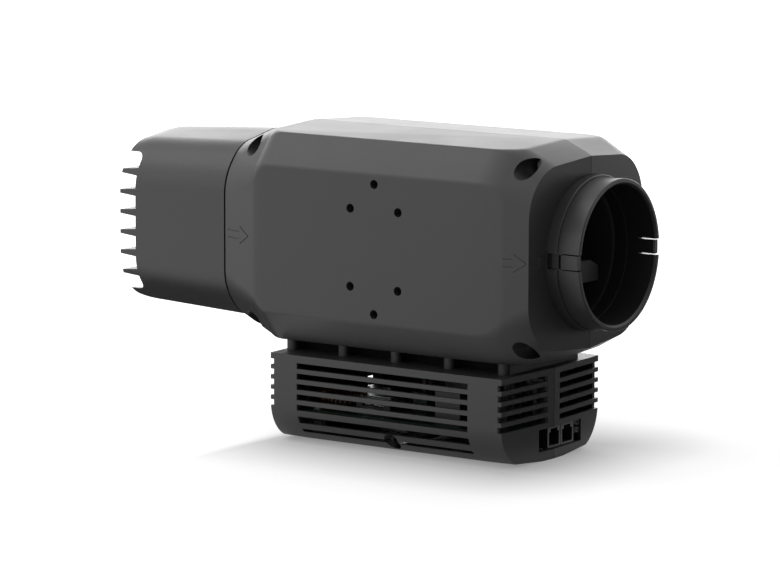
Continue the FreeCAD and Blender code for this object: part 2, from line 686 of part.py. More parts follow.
def mirror(name, item):
    """A copy of an object on the far side of the seam."""
    other = document.addObject("Part::Mirroring", name)
    other.Source = item
    other.Base = Vector()
    other.Normal = Vector(0, 1, 0)
    return other


body_block = drawn("BodyBlock", body_solid())
body_hollow = drawn("BodyHollow", body_cavity())
whole_body = fuse("WholeBody", body_block, mirror("FarBlock", body_block))
seam_slab = block("SeamSlab", ("-body_length - 5", "5"), ("-seam_gap / 2", "5"),
                  ("-2 * body_half_height", "2 * body_half_height"))

FLOOR = "-(box_drop + box_height)"
INLET_WALL = "-(body_length - end_wall)"
FLANGE_END = "-(end_wall + flange_depth)"
DUCT_START = "-(end_wall + flange_depth + seal_width)"
DUCT_END = "-(body_length + hood_gap + hood_bulkhead - hood_lip - seal_width)"


# Housing halves: shell, ribs that carry the duct, screw bosses, blind holes in the side panel

def housing_rib(name, place):
    """A rib from the shell to the duct."""
    plate = block(f"{name}Plate", (f"-({place}) - rib_thickness / 2", f"-({place}) + rib_thickness / 2"),
                  ("-body_half_width", "0"), ("-body_half_height", "body_half_height"))
    return common(name, plate, body_hollow)


def panel_hole(name, along, up, depth, part):
    """A blind hole in the side panel, or the boss round it."""
    x = f"-panel_hole_centre + ({along})"
    if part == "hole":
        return rod(name, "y", "panel_hole_radius", "-body_half_width - 1", f"-body_half_width + {depth}",
                   x=x, z=up)
    return rod(name, "y", "panel_hole_radius + boss_wall", "-body_half_width + housing_wall / 2",
               f"-body_half_width + {depth} + boss_wall", x=x, z=up)


POCKETS = {
    "Outlet": "-outlet_pocket",
    "Inlet": "-(body_length - inlet_pocket)",
}
PANEL_HOLES = [(f"{a} * bracket_spacing / 2", f"{b} * bracket_rise / 2", "bracket_hole_depth")
               for a in (-1, 1) for b in (-1, 1)]
PANEL_HOLES += [("0", f"{b} * hanger_rise / 2", "hanger_hole_depth") for b in (-1, 1)]
STAND_SCREWS = [("Outlet", "-stand_screw_place"), ("Inlet", "-(stand_screw_place + stand_screw_spacing)")]

ribs = [housing_rib(f"Rib{number}", place) for number, place in enumerate(
    ("rib_place", "(rib_place + body_length - rib_place) / 2 + rib_offset", "body_length - rib_place"))]
bosses = [panel_hole(f"PanelBoss{number}", *where, "boss") for number, where in enumerate(PANEL_HOLES)]
holes = [panel_hole(f"PanelHole{number}", *where, "hole") for number, where in enumerate(PANEL_HOLES)]
pockets, threads = [], []
for end, x in POCKETS.items():
    for side, z in (("Top", "pocket_height"), ("Low", "-pocket_height")):
        name = f"{end}{side}"
        bosses.append(rod(f"PocketBoss{name}", "y", "pocket_radius + boss_wall", "-body_half_width",
                          "-pocket_floor + screw_head_height", x=x, z=z))
        bosses.append(rod(f"ScrewBoss{name}", "y", "screw_radius + boss_wall", "-pocket_floor", "0",
                          x=x, z=z))
        pockets.append(rod(f"Pocket{name}", "y", "pocket_radius", "-body_half_width - 1", "-pocket_floor",
                           x=x, z=z))
        holes.append(rod(f"ScrewWay{name}", "y", "screw_radius + screw_clearance", "-pocket_floor - 1", "1",
                         x=x, z=z))
        threads.append(rod(f"InsertSeat{name}", "y", "insert_radius", "-insert_length", "1", x=x, z=z))
for end, x in STAND_SCREWS:
    bosses.append(rod(f"StandBoss{end}", "z", "screw_radius + 2 * boss_wall", "-body_half_height",
                      "-body_half_height + stand_boss", x=x, y="-stand_screw_side"))
    holes.append(rod(f"StandHole{end}", "z", "screw_radius + screw_clearance", "-body_half_height - 1",
                     "-body_half_height + stand_boss - boss_wall", x=x, y="-stand_screw_side"))
wide_bosses = common("Bosses", fuse("BossGroup", *bosses), body_block)


def side_point(place):
    """Where the side of the housing crosses the height of the duct axis, at a distance along the seam."""
    turn = math.radians(draft_at(place))
    width = -body_section(place, 0.0).BoundBox.YMin
    return Vector(-place + width * math.sin(turn), -width * math.cos(turn), 0)


def flow_arrow(name, edge, bend, tail, shaft):
    """A flow arrow engraved square to an end facet that runs from edge to bend: two lines for the shaft
    and two for the head. The tail is a place along the duct, and the arrow points to the outlet."""
    along = (bend - edge).normalize()
    if along.x < 0:
        along = along * -1
    outward = along.cross(Vector(0, 0, 1))
    depth, half_line = size("arrow_depth"), size("arrow_line") / 2

    def spot(x, z):
        return edge + along * ((x - edge.x) / along.x) + Vector(0, 0, z)

    def stroke(start, finish):
        way = (finish - start).normalize()
        aside = way.cross(outward) * half_line
        corners = [start + aside, finish + aside, finish - aside, start - aside, start + aside]
        outline = Part.Face(Part.makePolygon([point + outward * depth for point in corners]))
        return outline.extrude(outward * -2 * depth)

    neck = tail + shaft
    back = neck + size("arrow_break")
    tip = spot(back + size("arrow_point"), 0)
    half, head = size("arrow_half_width"), size("arrow_head")
    lines = [stroke(spot(tail, z), spot(neck, z)) for z in (half, -half)]
    lines.append(stroke(spot(back, head), tip).fuse(stroke(spot(back, -head), tip)))
    return drawn(name, Part.makeCompound(lines))


inlet_tail = -size("body_length") + size("inlet_arrow_inset")
outlet_tail = -sum(size(alias) for alias in (
    "outlet_arrow_inset", "arrow_point", "arrow_break", "outlet_arrow_shaft"))
arrows = [
    flow_arrow("InletArrow", side_point(size("body_length")),
               side_point(size("body_length") - size("inlet_shoulder") + size("shoulder_easing")),
               inlet_tail, size("inlet_arrow_shaft")),
    flow_arrow("OutletArrow", side_point(0.0),
               side_point(size("outlet_shoulder") - size("shoulder_easing")),
               outlet_tail, size("outlet_arrow_shaft")),
]
stop_rib = block("StopRib",
                 ("-end_wall", "-(lip_radius + stop_inset + stop_width / 2) * tan(end_draft) + stop_rise"),
                 ("-(lip_radius + stop_inset + stop_width)", "-(lip_radius + stop_inset)"),
                 ("-stop_half_height", "stop_half_height"))
shell = cut("Shell", body_block, body_hollow)
ribbed = fuse("RibbedShell", shell, *ribs, wide_bosses, stop_rib)
duct_way = rod("DuctWay", "x", "duct_radius + fit_gap", INLET_WALL, "-end_wall")
outlet_way = rod("OutletWay", "x", "lip_radius + fit_gap", "-end_wall - 1", "5")
flange_way = rod("FlangeWay", "x", "flange_radius + fit_gap", f"{FLANGE_END} - fit_gap", "-end_wall")
inlet_way = rod("InletWay", "x", "neck_radius + fit_gap", "-body_length - 5", f"{INLET_WALL} + 1")
lug_way = rod("LugWay", "x", "neck_flange_radius + fit_gap", INLET_WALL,
              f"{INLET_WALL} + flange_depth + fit_gap")
CABLE_SPAN = ("-cable_place - cable_length / 2", "-cable_place + cable_length / 2")
cable_way = block("CableWay", CABLE_SPAN, ("-cable_half_width", "1"),
                  ("-body_half_height - 1", "-body_half_height + 2 * housing_wall"))
open_half = cut("OpenHalf", ribbed, duct_way, outlet_way, flange_way, inlet_way, lug_way, cable_way,
                seam_slab,
                *arrows, *holes)
near_half = cut("NearHalf", open_half, group("PocketGroup", *pockets))
far_half = mirror("FarHalf", cut("ThreadedHalf", open_half, group("InsertSeats", *threads)))
subpart("housing_near", near_half)
subpart("housing_far", far_half)


# Housing screws from the near side into brass inserts in the far half, and the screws of the standoff

def screw(name, along, head_end, tip, direction, **place):
    """A screw with a cylinder head; direction is the sign of the way from its seat to its tip."""
    if direction > 0:
        head = rod(f"{name}Head", along, "screw_head_radius", f"{head_end} - screw_head_height", head_end,
                   **place)
        shank = rod(f"{name}Shank", along, "screw_radius", head_end, tip, **place)
        slot_start = f"{head_end} - screw_head_height"
        slot_end = f"{head_end} - screw_head_height / 2"
    else:
        head = rod(f"{name}Head", along, "screw_head_radius", head_end, f"{head_end} + screw_head_height",
                   **place)
        shank = rod(f"{name}Shank", along, "screw_radius", tip, head_end, **place)
        slot_start = f"{head_end} + screw_head_height / 2"
        slot_end = f"{head_end} + screw_head_height"
    across = [letter for letter in "xyz" if letter != along]
    blades = []
    for wide, narrow in (across, across[::-1]):
        spans = {along: (slot_start, slot_end)}
        for letter, reach in ((wide, "screw_cross_reach"), (narrow, "screw_cross_half_width")):
            middle = place.get(letter, "0")
            spans[letter] = (f"{middle} - {reach}", f"{middle} + {reach}")
        blades.append(block(f"{name}Cross{wide.upper()}", spans["x"], spans["y"], spans["z"]))
    return cut(name, fuse(f"{name}Whole", head, shank), fuse(f"{name}Cross", *blades))


def insert(name, x, z):
    """A brass insert pressed into the far half."""
    outer = rod(f"{name}Outer", "y", "insert_radius", "seam_gap / 2", "insert_length", x=x, z=z)
    inner = rod(f"{name}Inner", "y", "screw_radius + fit_gap", "0", "insert_length + 1", x=x, z=z)
    return cut(name, outer, inner)


long_screws, inserts = [], []
for end, x in POCKETS.items():
    for side, z in (("Top", "pocket_height"), ("Low", "-pocket_height")):
        long_screws.append(screw(f"LongScrew{end}{side}", "y", "-pocket_floor", "insert_length", 1,
                                 x=x, z=z))
        inserts.append(insert(f"Insert{end}{side}", x, z))
subpart("housing_screws", group("LongScrews", *long_screws))
subpart("thread_inserts", group("Inserts", *inserts))
stand_screws = [screw(f"StandScrew{end}{side}", "z", "-(box_drop + box_wall)",
                      "-body_half_height + stand_boss - 2 * boss_wall", 1,
                      x=x, y=f"{sign} * stand_screw_side")
                for end, x in STAND_SCREWS for side, sign in (("Near", "-1"), ("Far", "1"))]
subpart("stand_screws", group("StandScrews", *stand_screws))


# Inlet hood: one moulding with full-width blades at its front and a neck trapped by the housing halves

hood_block = drawn("HoodBlock", hood_solid())
whole_hood = fuse("WholeHood", hood_block, mirror("FarHood", hood_block))
hollow = drawn("HoodHollow", hood_solid(size("hood_wall"), size("hood_bulkhead"), -size("hood_wall")))
whole_hollow = fuse("WholeHoodHollow", hollow, mirror("FarHoodHollow", hollow))
HOOD_FRONT = "-(body_length + hood_length)"
slots, blades = [], []
SLOT_END = f"{HOOD_FRONT} + slot_depth"


def inlet_blade(name, up):
    """A blade across the hood's front, thicker where it meets the end of the slots."""
    blade = document.addObject("Part::Wedge", name)
    blade.Placement = Placement(Vector(), Rotation(Vector(0, 0, 1), -90))
    limits = {
        "Y": ("0", "slot_depth"),
        "X": ("-body_half_width", "body_half_width"),
        "X2": ("-body_half_width", "body_half_width"),
        "Z": ("-blade_thickness / 2", "blade_thickness / 2"),
        "Z2": ("-blade_root / 2", "blade_root / 2"),
    }
    for prop, (low, high) in limits.items():
        bind(blade, f"{prop}max", high)
        bind(blade, f"{prop}min", low)
    bind(blade, "Placement.Base.x", HOOD_FRONT)
    bind(blade, "Placement.Base.z", up)
    return blade


for row in range(-3, 4):
    low = f"{row} * blade_pitch - (blade_pitch - blade_thickness) / 2"
    high = f"{row} * blade_pitch + (blade_pitch - blade_thickness) / 2"
    across = ("-body_half_width", "body_half_width")
    if abs(row) < 3:
        slots.append(block(f"HoodSlot{row + 3}", (f"{HOOD_FRONT} - 1", SLOT_END), across, (low, high)))
        continue
    inner = (low, f"{high} - slot_fillet") if row > 0 else (f"{low} + slot_fillet", high)
    centre = inner[1] if row > 0 else inner[0]
    slots.append(fuse(
        f"HoodSlot{row + 3}",
        block(f"SlotFront{row + 3}", (f"{HOOD_FRONT} - 1", f"{SLOT_END} - slot_fillet"), across,
              (low, high)),
        block(f"SlotBack{row + 3}", (f"{HOOD_FRONT} - 1", SLOT_END), across, inner),
        rod(f"SlotRound{row + 3}", "y", "slot_fillet", *across, x=f"{SLOT_END} - slot_fillet", z=centre)))
for row in range(6):
    middle = f"({row} - 2.5) * blade_pitch"
    blades.append(inlet_blade(f"Blade{row}", middle))
    blades.append(block(f"BladeTongue{row}", (SLOT_END, f"{SLOT_END} + blade_tongue"),
                        ("-body_half_width", "body_half_width"),
                        (f"{middle} - blade_root / 2", f"{middle} + blade_root / 2")))
hood_shell = cut("HoodShell", whole_hood, whole_hollow, *slots)
hood_blades = common("HoodBlades", fuse("BladeGroup", *blades), whole_hood)
neck = rod("HoodNeck", "x", "neck_radius", "-(body_length + hood_gap + hood_bulkhead)",
           f"{INLET_WALL} + fit_gap")
neck_flange = rod("NeckFlange", "x", "neck_flange_radius", f"{INLET_WALL} + fit_gap",
                  f"{INLET_WALL} + flange_depth")
neck_bore = rod("NeckBore", "x", "duct_radius + fit_gap",
                "-(body_length + hood_gap + hood_bulkhead - hood_lip)", f"{INLET_WALL} + flange_depth + 1")
mouth = rod("HoodMouth", "x", "duct_radius - duct_wall", "-(body_length + hood_gap + hood_bulkhead) - 1",
            "-body_length + 1")
hood = fuse("HoodWhole", hood_shell, hood_blades, neck, neck_flange)
subpart("inlet_hood", cut("Hood", hood, neck_bore, mouth))


# Outlet spigot: a turned ring trapped by its flange, with a beaded rim and two snap tabs

collar = new_body("Collar")
profile = sketch_on(collar, "XZ_Plane", "CollarProfile")
add_outline(profile, [
    (FLANGE_END, "collar_bore - collar_step"),
    ("0", "collar_bore - collar_step"),
    ("0", "collar_bore"),
    ("collar_length - lip_chamfer", "collar_bore"),
    ("collar_length", "collar_bore + lip_chamfer"),
    ("collar_length", "collar_radius - rim_chamfer"),
    ("collar_length - rim_chamfer", "collar_radius"),
    ("bead_start", "collar_radius"),
    ("bead_start", "collar_radius - bead_height"),
    ("lip_length", "collar_radius - bead_height"),
    ("lip_length", "lip_radius - rim_chamfer"),
    ("lip_length - rim_chamfer", "lip_radius"),
    ("-end_wall", "lip_radius"),
    ("-end_wall", "flange_radius"),
    (FLANGE_END, "flange_radius"),
])
revolve(collar, profile, "CollarTurn")
TAB_END = "collar_length - tab_setback"
SLIT_END = "collar_length - tab_length"
tab_cuts = []


def outside(sign, radius):
    """A span from a radius to past the ring, on the side of a sign."""
    return (f"{sign} * ({radius}) + ({sign} - 1) / 2 * (lip_radius + 1 - ({radius}))",
            f"{sign} * ({radius}) + ({sign} + 1) / 2 * (lip_radius + 1 - ({radius}))")


for side, sign in (("Near", "-1"), ("Far", "1")):
    for edge, up in (("Top", 1), ("Low", -1)):
        start = f"{up} * (tab_half_width + tab_slit / 2) - tab_slit / 2"
        tab_cuts.append(block(f"TabSlit{side}{edge}", (SLIT_END, "collar_length + 1"),
                              outside(sign, "collar_bore / 2"), (start, f"{start} + tab_slit")))
    tab_cuts.append(block(f"TabSetback{side}", (TAB_END, "collar_length + 1"),
                          outside(sign, "collar_bore / 2"),
                          ("-tab_half_width - tab_slit / 2", "tab_half_width + tab_slit / 2")))
    window = (f"{SLIT_END} - window_edge - window_length", f"{SLIT_END} - window_edge")
    tab_cuts.append(block(f"TabWindow{side}", window, outside(sign, "collar_radius - window_depth"),
                          ("-tab_half_width", "tab_half_width")))
    tab_cuts.append(block(f"RingNotch{side}", ("-notch_start", "lip_length + window_edge / 2"),
                          outside(sign, "collar_radius - notch_depth"),
                          ("-notch_half_width", "notch_half_width")))
    tab_cuts.append(block(f"NotchWell{side}", ("-notch_start", "notch_well - notch_start"),
                          outside(sign, "collar_radius - window_depth"),
                          ("-notch_half_width", "notch_half_width")))
HOOK = (f"{TAB_END} - window_edge - hook_length", f"{TAB_END} - window_edge")
hook_ring = cut("HookRing", rod("HookOuter", "x", "collar_bore + rim_chamfer", *HOOK),
                rod("HookInner", "x", "collar_bore - hook_height", f"{HOOK[0]} - 1", f"{HOOK[1]} + 1"))
hooks = [common(f"TabHook{side}", hook_ring,
                block(f"HookSpan{side}", HOOK, across, ("-hook_half_width", "hook_half_width")))
         for side, across in (("Near", ("-collar_radius", "0")), ("Far", ("0", "collar_radius")))]
subpart("outlet_collar", fuse("HookedCollar", cut("SlitCollar", collar, *tab_cuts), *hooks))


# Inner duct with its two foam rings

duct_body = new_body("DuctTube")
profile = sketch_on(duct_body, "XZ_Plane", "DuctProfile")
add_rectangle(profile, (DUCT_END, DUCT_START), ("duct_radius - duct_wall", "duct_radius"))
revolve(duct_body, profile, "DuctTurn")
cutout_way = rod("CutoutWay", "z", "cutout_radius + fit_gap", "0", "duct_radius + 5", x="-cutout_place")
lead_ways = [rod(f"LeadWay{side}", "z", "lead_radius + 2 * fit_gap", "-duct_radius - 1", "-duct_radius / 2",
                 x="-heater_place + terminal_offset", y=f"{sign} * lead_side")
             for side, sign in (("Near", "-1"), ("Far", "1"))]
subpart("air_duct", cut("AirDuct", duct_body, cutout_way, *lead_ways))


def foam_ring(name, label, start, end, outer):
    ring = new_body(name)
    outline = sketch_on(ring, "XZ_Plane", f"{name}Profile")
    add_rectangle(outline, (start, end), ("duct_radius - duct_wall", outer))
    revolve(ring, outline, f"{name}Turn")
    subpart(label, ring)


foam_ring("OutletSeal", "outlet_seal", DUCT_START, FLANGE_END, "flange_radius")
foam_ring("InletSeal", "inlet_seal", "-(body_length + hood_gap + hood_bulkhead - hood_lip)", DUCT_END,
          "duct_radius")


# Fan: frame and motor base, bearings, winding, shaft, hub with its magnet ring and blades

FAN_BASE = "-(fan_place - fan_depth / 2)"
HUB_START = f"{FAN_BASE} - motor_base - fan_gap"
ring_outer = rod("FanRingOuter", "x", "duct_radius - duct_wall - fan_play", f"{FAN_BASE} - fan_depth",
                 FAN_BASE)
ring_inner = rod("FanRingInner", "x", "duct_radius - duct_wall - fan_play - fan_ring",
                 f"{FAN_BASE} - fan_depth - 1", f"{FAN_BASE} + 1")
frame_ring = cut("FanRing", ring_outer, ring_inner)
base_plate = rod("MotorBase", "x", "cup_radius", f"{FAN_BASE} - motor_base", FAN_BASE)
motor_tube = rod("MotorTube", "x", "bearing_radius + tube_wall", f"{FAN_BASE} - motor_base - tube_length",
                 FAN_BASE)
tube_bore = rod("MotorBore", "x", "bearing_radius + fit_gap / 2",
                f"{FAN_BASE} - motor_base - tube_length - 1", f"{FAN_BASE} + 1")
STRUT_REACH = "(duct_radius - duct_wall - fan_play - fan_ring / 2)"
LONG, NARROW = (f"-{STRUT_REACH}", STRUT_REACH), ("-strut_half_width", "strut_half_width")
struts = [block(f"Strut{letter}", (f"{FAN_BASE} - motor_base", FAN_BASE), across, up)
          for letter, across, up in (("Y", LONG, NARROW), ("Z", NARROW, LONG))]
fan_frame = fuse("FanFrameWhole", frame_ring, base_plate, motor_tube, *struts)
subpart("fan_frame", cut("FanFrame", fan_frame, tube_bore))

bearings = []
for name, start in (("FrontBearing", f"{FAN_BASE} - bearing_width"),
                    ("RearBearing", f"{FAN_BASE} - motor_base - tube_length")):
    ring = new_body(name)
    profile = sketch_on(ring, "XZ_Plane", f"{name}Profile")
    add_rectangle(profile, (start, f"{start} + bearing_width"),
                  ("shaft_radius + shaft_play", "bearing_radius"))
    revolve(ring, profile, f"{name}Turn")
    bearings.append(ring)
subpart("fan_bearings", group("Bearings", *bearings))
STATOR_END = f"{HUB_START} - hub_face / 2"
stator = rod("StatorOuter", "x", "stator_radius", f"{STATOR_END} - stator_length", STATOR_END)
stator_bore = rod("StatorInner", "x", "bearing_radius + tube_wall + fit_gap",
                  f"{STATOR_END} - stator_length - 1", HUB_START)
subpart("motor_winding", cut("Stator", stator, stator_bore))

hub = cut("Hub", rod("HubOuter", "x", "cup_radius", f"{HUB_START} - rotor_depth", HUB_START),
          rod("HubInner", "x", "cup_radius - cup_wall", f"{HUB_START} - rotor_depth + hub_face",
              f"{HUB_START} + 1"))


def blade_shape():
    """One fan blade, drawn between a curved root on the hub and a flatter tip."""
    wires = []
    root, tip = size("cup_radius") - size("cup_wall") / 2, size("rotor_radius")
    middle = -(size("body_length") - size("fan_inset") - size("fan_depth") / 2 + size("motor_base")
               + size("fan_gap") + size("rotor_depth") / 2)
    for radius, angle, chord in ((root, size("root_pitch"), size("root_chord")),
                                 (tip, size("tip_pitch"), size("tip_chord"))):
        pitch = math.radians(angle)
        forward = Vector(math.sin(pitch), math.cos(pitch), 0)
        across = Vector(math.cos(pitch), -math.sin(pitch), 0)
        centre = Vector(middle, 0, radius)
        half, thick = chord / 2, size("blade_skin")
        camber = size("blade_camber")
        low = [centre - forward * half, centre + across * camber, centre + forward * half]
        high = [point + across * thick for point in low]
        wires.append(Part.Wire([
            Part.Arc(*low).toShape(),
            Part.LineSegment(low[2], high[2]).toShape(),
            Part.Arc(high[2], high[1], high[0]).toShape(),
            Part.LineSegment(high[0], low[0]).toShape(),
        ]))
    return Part.makeLoft(wires, True, True)


def fan_blades():
    count = int(size("blade_count"))
    first = blade_shape()
    axis = Vector(1, 0, 0)
    return Part.makeCompound([first.rotated(Vector(), axis, 360 * turn / count) for turn in range(count)])


impeller_blades = drawn("ImpellerBlades", fan_blades())
swept = common("SweptBlades", impeller_blades, cut(
    "BladeSpace", rod("BladeSpaceOuter", "x", "rotor_radius", f"{HUB_START} - rotor_depth", HUB_START),
    rod("BladeSpaceInner", "x", "cup_radius - cup_wall / 2", f"{HUB_START} - rotor_depth - 1",
        f"{HUB_START} + 1")))
shaft_seat = rod("ShaftSeat", "x", "shaft_radius", f"{HUB_START} - rotor_depth - 1", HUB_START)
subpart("fan_impeller", cut("Impeller", fuse("ImpellerWhole", hub, swept), shaft_seat))
magnets = rod("MagnetOuter", "x", "cup_radius - cup_wall", f"{HUB_START} - magnet_length", HUB_START)
magnet_bore = rod("MagnetInner", "x", "magnet_radius", f"{HUB_START} - magnet_length - 1",
                  f"{HUB_START} + 1")
subpart("magnet_ring", cut("Magnets", magnets, magnet_bore))
subpart("fan_shaft", rod("FanShaft", "x", "shaft_radius", f"{HUB_START} - rotor_depth",
                         f"{FAN_BASE} - shaft_inset"))


# Heater: frame, heating elements with their fin packs, terminals, leads, overheat cut-out, air sensor

HEATER_HALF_HEIGHT = "(2 * element_height + 1.5 * fin_height)"
HEATER_START = "-(heater_place + heater_depth / 2)"
HEATER_END = "-(heater_place - heater_depth / 2)"


def heater_row(row, kind):
    """The low edge of a heating element or fin pack, counted from below."""
    step = f"-{HEATER_HALF_HEIGHT} + {row} * (element_height + fin_height)"
    return step if kind == "element" else f"{step} + element_height"


frame_outer = rod("HeaterRim", "x", "duct_radius - duct_wall - fan_play", HEATER_START, HEATER_END)
frame_inner = rod("HeaterHollow", "x", "duct_radius - duct_wall - fan_play - fan_ring",
                  f"{HEATER_START} + heater_plate", f"{HEATER_END} - heater_plate")
window = block("HeaterWindow", (f"{HEATER_START} - 1", f"{HEATER_END} + 1"),
               ("-heater_half_width", "heater_half_width"), (f"-{HEATER_HALF_HEIGHT}", HEATER_HALF_HEIGHT))
terminal_ways = [rod(f"TerminalWay{side}", "z", "lead_radius + 2 * fit_gap", "-duct_radius", "0",
                     x="-heater_place + terminal_offset", y=f"{sign} * lead_side")
                 for side, sign in (("Near", "-1"), ("Far", "1"))]
subpart("heater_frame", cut("HeaterFrame", frame_outer, frame_inner, window, *terminal_ways))
ELEMENT_SPAN = (f"{HEATER_START} + heater_plate / 2", f"{HEATER_END} - heater_plate / 2")
elements = [block(f"Element{row}", ELEMENT_SPAN, ("-heater_half_width", "heater_half_width"),
                  (heater_row(row, "element"), f"{heater_row(row, 'element')} + element_height"))
            for row in range(4)]
subpart("heater_elements", group("Elements", *elements))


def fin_pack():
    """Thin fins between the elements, evenly spaced over the width of the window."""
    half, pitch, thick = size("heater_half_width"), size("fin_pitch"), size("fin_thickness")
    count = int((2 * half - thick) / pitch) + 1
    first = -(count - 1) * pitch / 2 - thick / 2
    start = -(size("heater_place") + size("heater_depth") / 2 - size("heater_plate"))
    depth = size("heater_depth") - 2 * size("heater_plate")
    low = -(2 * size("element_height") + 1.5 * size("fin_height"))
    step = size("element_height") + size("fin_height")
    fins = [Part.makeBox(depth, thick, size("fin_height"),
                         Vector(start, first + column * pitch, low + row * step + size("element_height")))
            for row in range(3) for column in range(count)]
    return Part.makeCompound(fins)


subpart("heater_fins", drawn("FinPacks", fin_pack()))
lead_rods, terminals = [], []
for side, sign in (("Near", "-1"), ("Far", "1")):
    x, y = "-heater_place + terminal_offset", f"{sign} * lead_side"
    terminals.append(rod(f"Terminal{side}", "z", "terminal_radius",
                         f"-{HEATER_HALF_HEIGHT} - terminal_length", f"-{HEATER_HALF_HEIGHT}", x=x, y=y))
    lead_rods.append(rod(f"Lead{side}", "z", "lead_radius", "-(box_drop + board_drop - terminal_height)",
                         f"-{HEATER_HALF_HEIGHT} - terminal_length", x=x, y=y))
subpart("heater_terminals", group("Terminals", *terminals))
subpart("heater_leads", group("Leads", *lead_rods))

cap = rod("CutoutCap", "z", "cutout_radius", "duct_radius - 2 * duct_wall", "duct_radius + cutout_height",
          x="-cutout_place")
cutout_rim = rod("CutoutRim", "z", "cutout_radius + boss_wall", "duct_radius", "duct_radius + boss_wall",
                 x="-cutout_place")
tags = [block(f"CutoutTag{side}", ("-cutout_place - tag_half_width", "-cutout_place + tag_half_width"),
              (f"{sign} * cutout_radius / 2 - tag_half_thickness",
               f"{sign} * cutout_radius / 2 + tag_half_thickness"),
              ("duct_radius + cutout_height", "duct_radius + cutout_height + tag_height"))
        for side, sign in (("Near", "-1"), ("Far", "1"))]
subpart("thermal_cutout", fuse("Cutout", cap, cutout_rim, *tags))

front = block("BracketFront", ("-bracket_front - bracket_depth", "-bracket_front"),
              ("-duct_radius", "bracket_reach"), ("-bracket_low", "-bracket_high"))
bore = rod("BracketBore", "x", "collar_bore - collar_step - fit_gap", "-bracket_front - bracket_depth", "0")
back = block("BracketBack", ("-bracket_front - bracket_depth", f"{DUCT_START} - fit_gap"),
             ("-duct_radius", "bracket_reach"), ("-bracket_low", "-bracket_high"))
duct_bore = rod("BracketDuct", "x", "duct_radius - duct_wall - fit_gap", "-bracket_front - bracket_depth",
                "0")
chamfer = drawn("BracketChamfer", Part.Face(Part.makePolygon([
    Vector(0, size("bracket_reach") - size("bracket_chamfer"), -size("bracket_high")),
    Vector(0, size("bracket_reach") + 1, -size("bracket_high") - size("bracket_chamfer") / 2),
    Vector(0, size("bracket_reach") + 1, 0),
    Vector(0, size("bracket_reach") - size("bracket_chamfer"), 0),
    Vector(0, size("bracket_reach") - size("bracket_chamfer"), -size("bracket_high")),
])).extrude(Vector(-size("bracket_front") - size("bracket_depth") - 1, 0, 0)))
SENSOR = {"x": "-bracket_front - bracket_depth / 2",
          "z": "-(bracket_low + bracket_high + sensor_radius) / 2"}
sensor_seat = rod("SensorSeat", "y", "sensor_radius", "bracket_reach - sensor_grip", "bracket_reach + 1",
                  **SENSOR)
bracket = fuse("BracketWhole", common("BracketA", front, bore), common("BracketB", back, duct_bore))
subpart("sensor_bracket", cut("Bracket", bracket, chamfer, sensor_seat))
subpart("air_sensor", rod("AirSensor", "y", "sensor_radius", "bracket_reach - sensor_grip",
                          "bracket_reach + sensor_length", **SENSOR))


# Standoff: a recessed core with end walls and a row of posts along each side, under the housing

STAND_START = "-(stand_outlet + stand_length)"
# Every part of the standoff runs up into the housing, whose outside then cuts it to length
STAND_TOP = "-body_half_height / 2"
core = block("StandCore", (STAND_START, "-stand_outlet"), ("-stand_core", "stand_core"),
             ("-box_drop", STAND_TOP))
core_hollow = block("StandHollow", (f"{STAND_START} + stand_wall", "-stand_outlet - stand_wall"),
                    ("-stand_core + stand_wall", "stand_core - stand_wall"), ("-box_drop - 1", "0"))
ends = [block(f"StandEnd{name}", (start, f"{start} + stand_wall"), ("-post_line", "post_line"),
              ("-box_drop", STAND_TOP))
        for name, start in (("Inlet", STAND_START), ("Outlet", "-stand_outlet - stand_wall"))]
posts, webs, screw_tubes, screw_ways = [], [], [], []
for row in range(int(size("post_count"))):
    x = f"{STAND_START} + post_inset + {row} * (stand_length - 2 * post_inset) / (post_count - 1)"
    for side, sign in (("Near", "-1"), ("Far", "1")):
        posts.append(rod(f"Post{side}{row}", "z", "post_radius", "-box_drop", STAND_TOP, x=x,
                         y=f"{sign} * post_line"))
    webs.append(block(f"Web{row}", (f"{x} - stand_wall / 2", f"{x} + stand_wall / 2"),
                      ("-post_line", "post_line"), ("-box_drop", STAND_TOP)))
for end, x in STAND_SCREWS:
    webs.append(block(f"ScrewWeb{end}", (f"{x} - stand_wall / 2", f"{x} + stand_wall / 2"),
                      ("-stand_core", "stand_core"), ("-box_drop", STAND_TOP)))
    for side, sign in (("Near", "-1"), ("Far", "1")):
        place = {"x": x, "y": f"{sign} * stand_screw_side"}
        screw_tubes.append(rod(f"ScrewTube{end}{side}", "z", "screw_radius + 2 * boss_wall", "-box_drop",
                               STAND_TOP, **place))
        screw_ways.append(rod(f"TubeWay{end}{side}", "z", "screw_radius + screw_clearance",
                              "-box_drop - 1", "0", **place))
cable_tunnel = block("CableTunnel", CABLE_SPAN, ("-cable_half_width", "cable_half_width"),
                     ("-box_drop - 1", "0"))
stand = fuse("StandWhole", cut("StandShell", core, core_hollow), *ends, *posts, *webs, *screw_tubes)
subpart("standoff", cut("Stand", stand, whole_body, cable_tunnel, *screw_ways))


# Control box: two halves split on the seam, louvred sides and ends, window for the network sockets

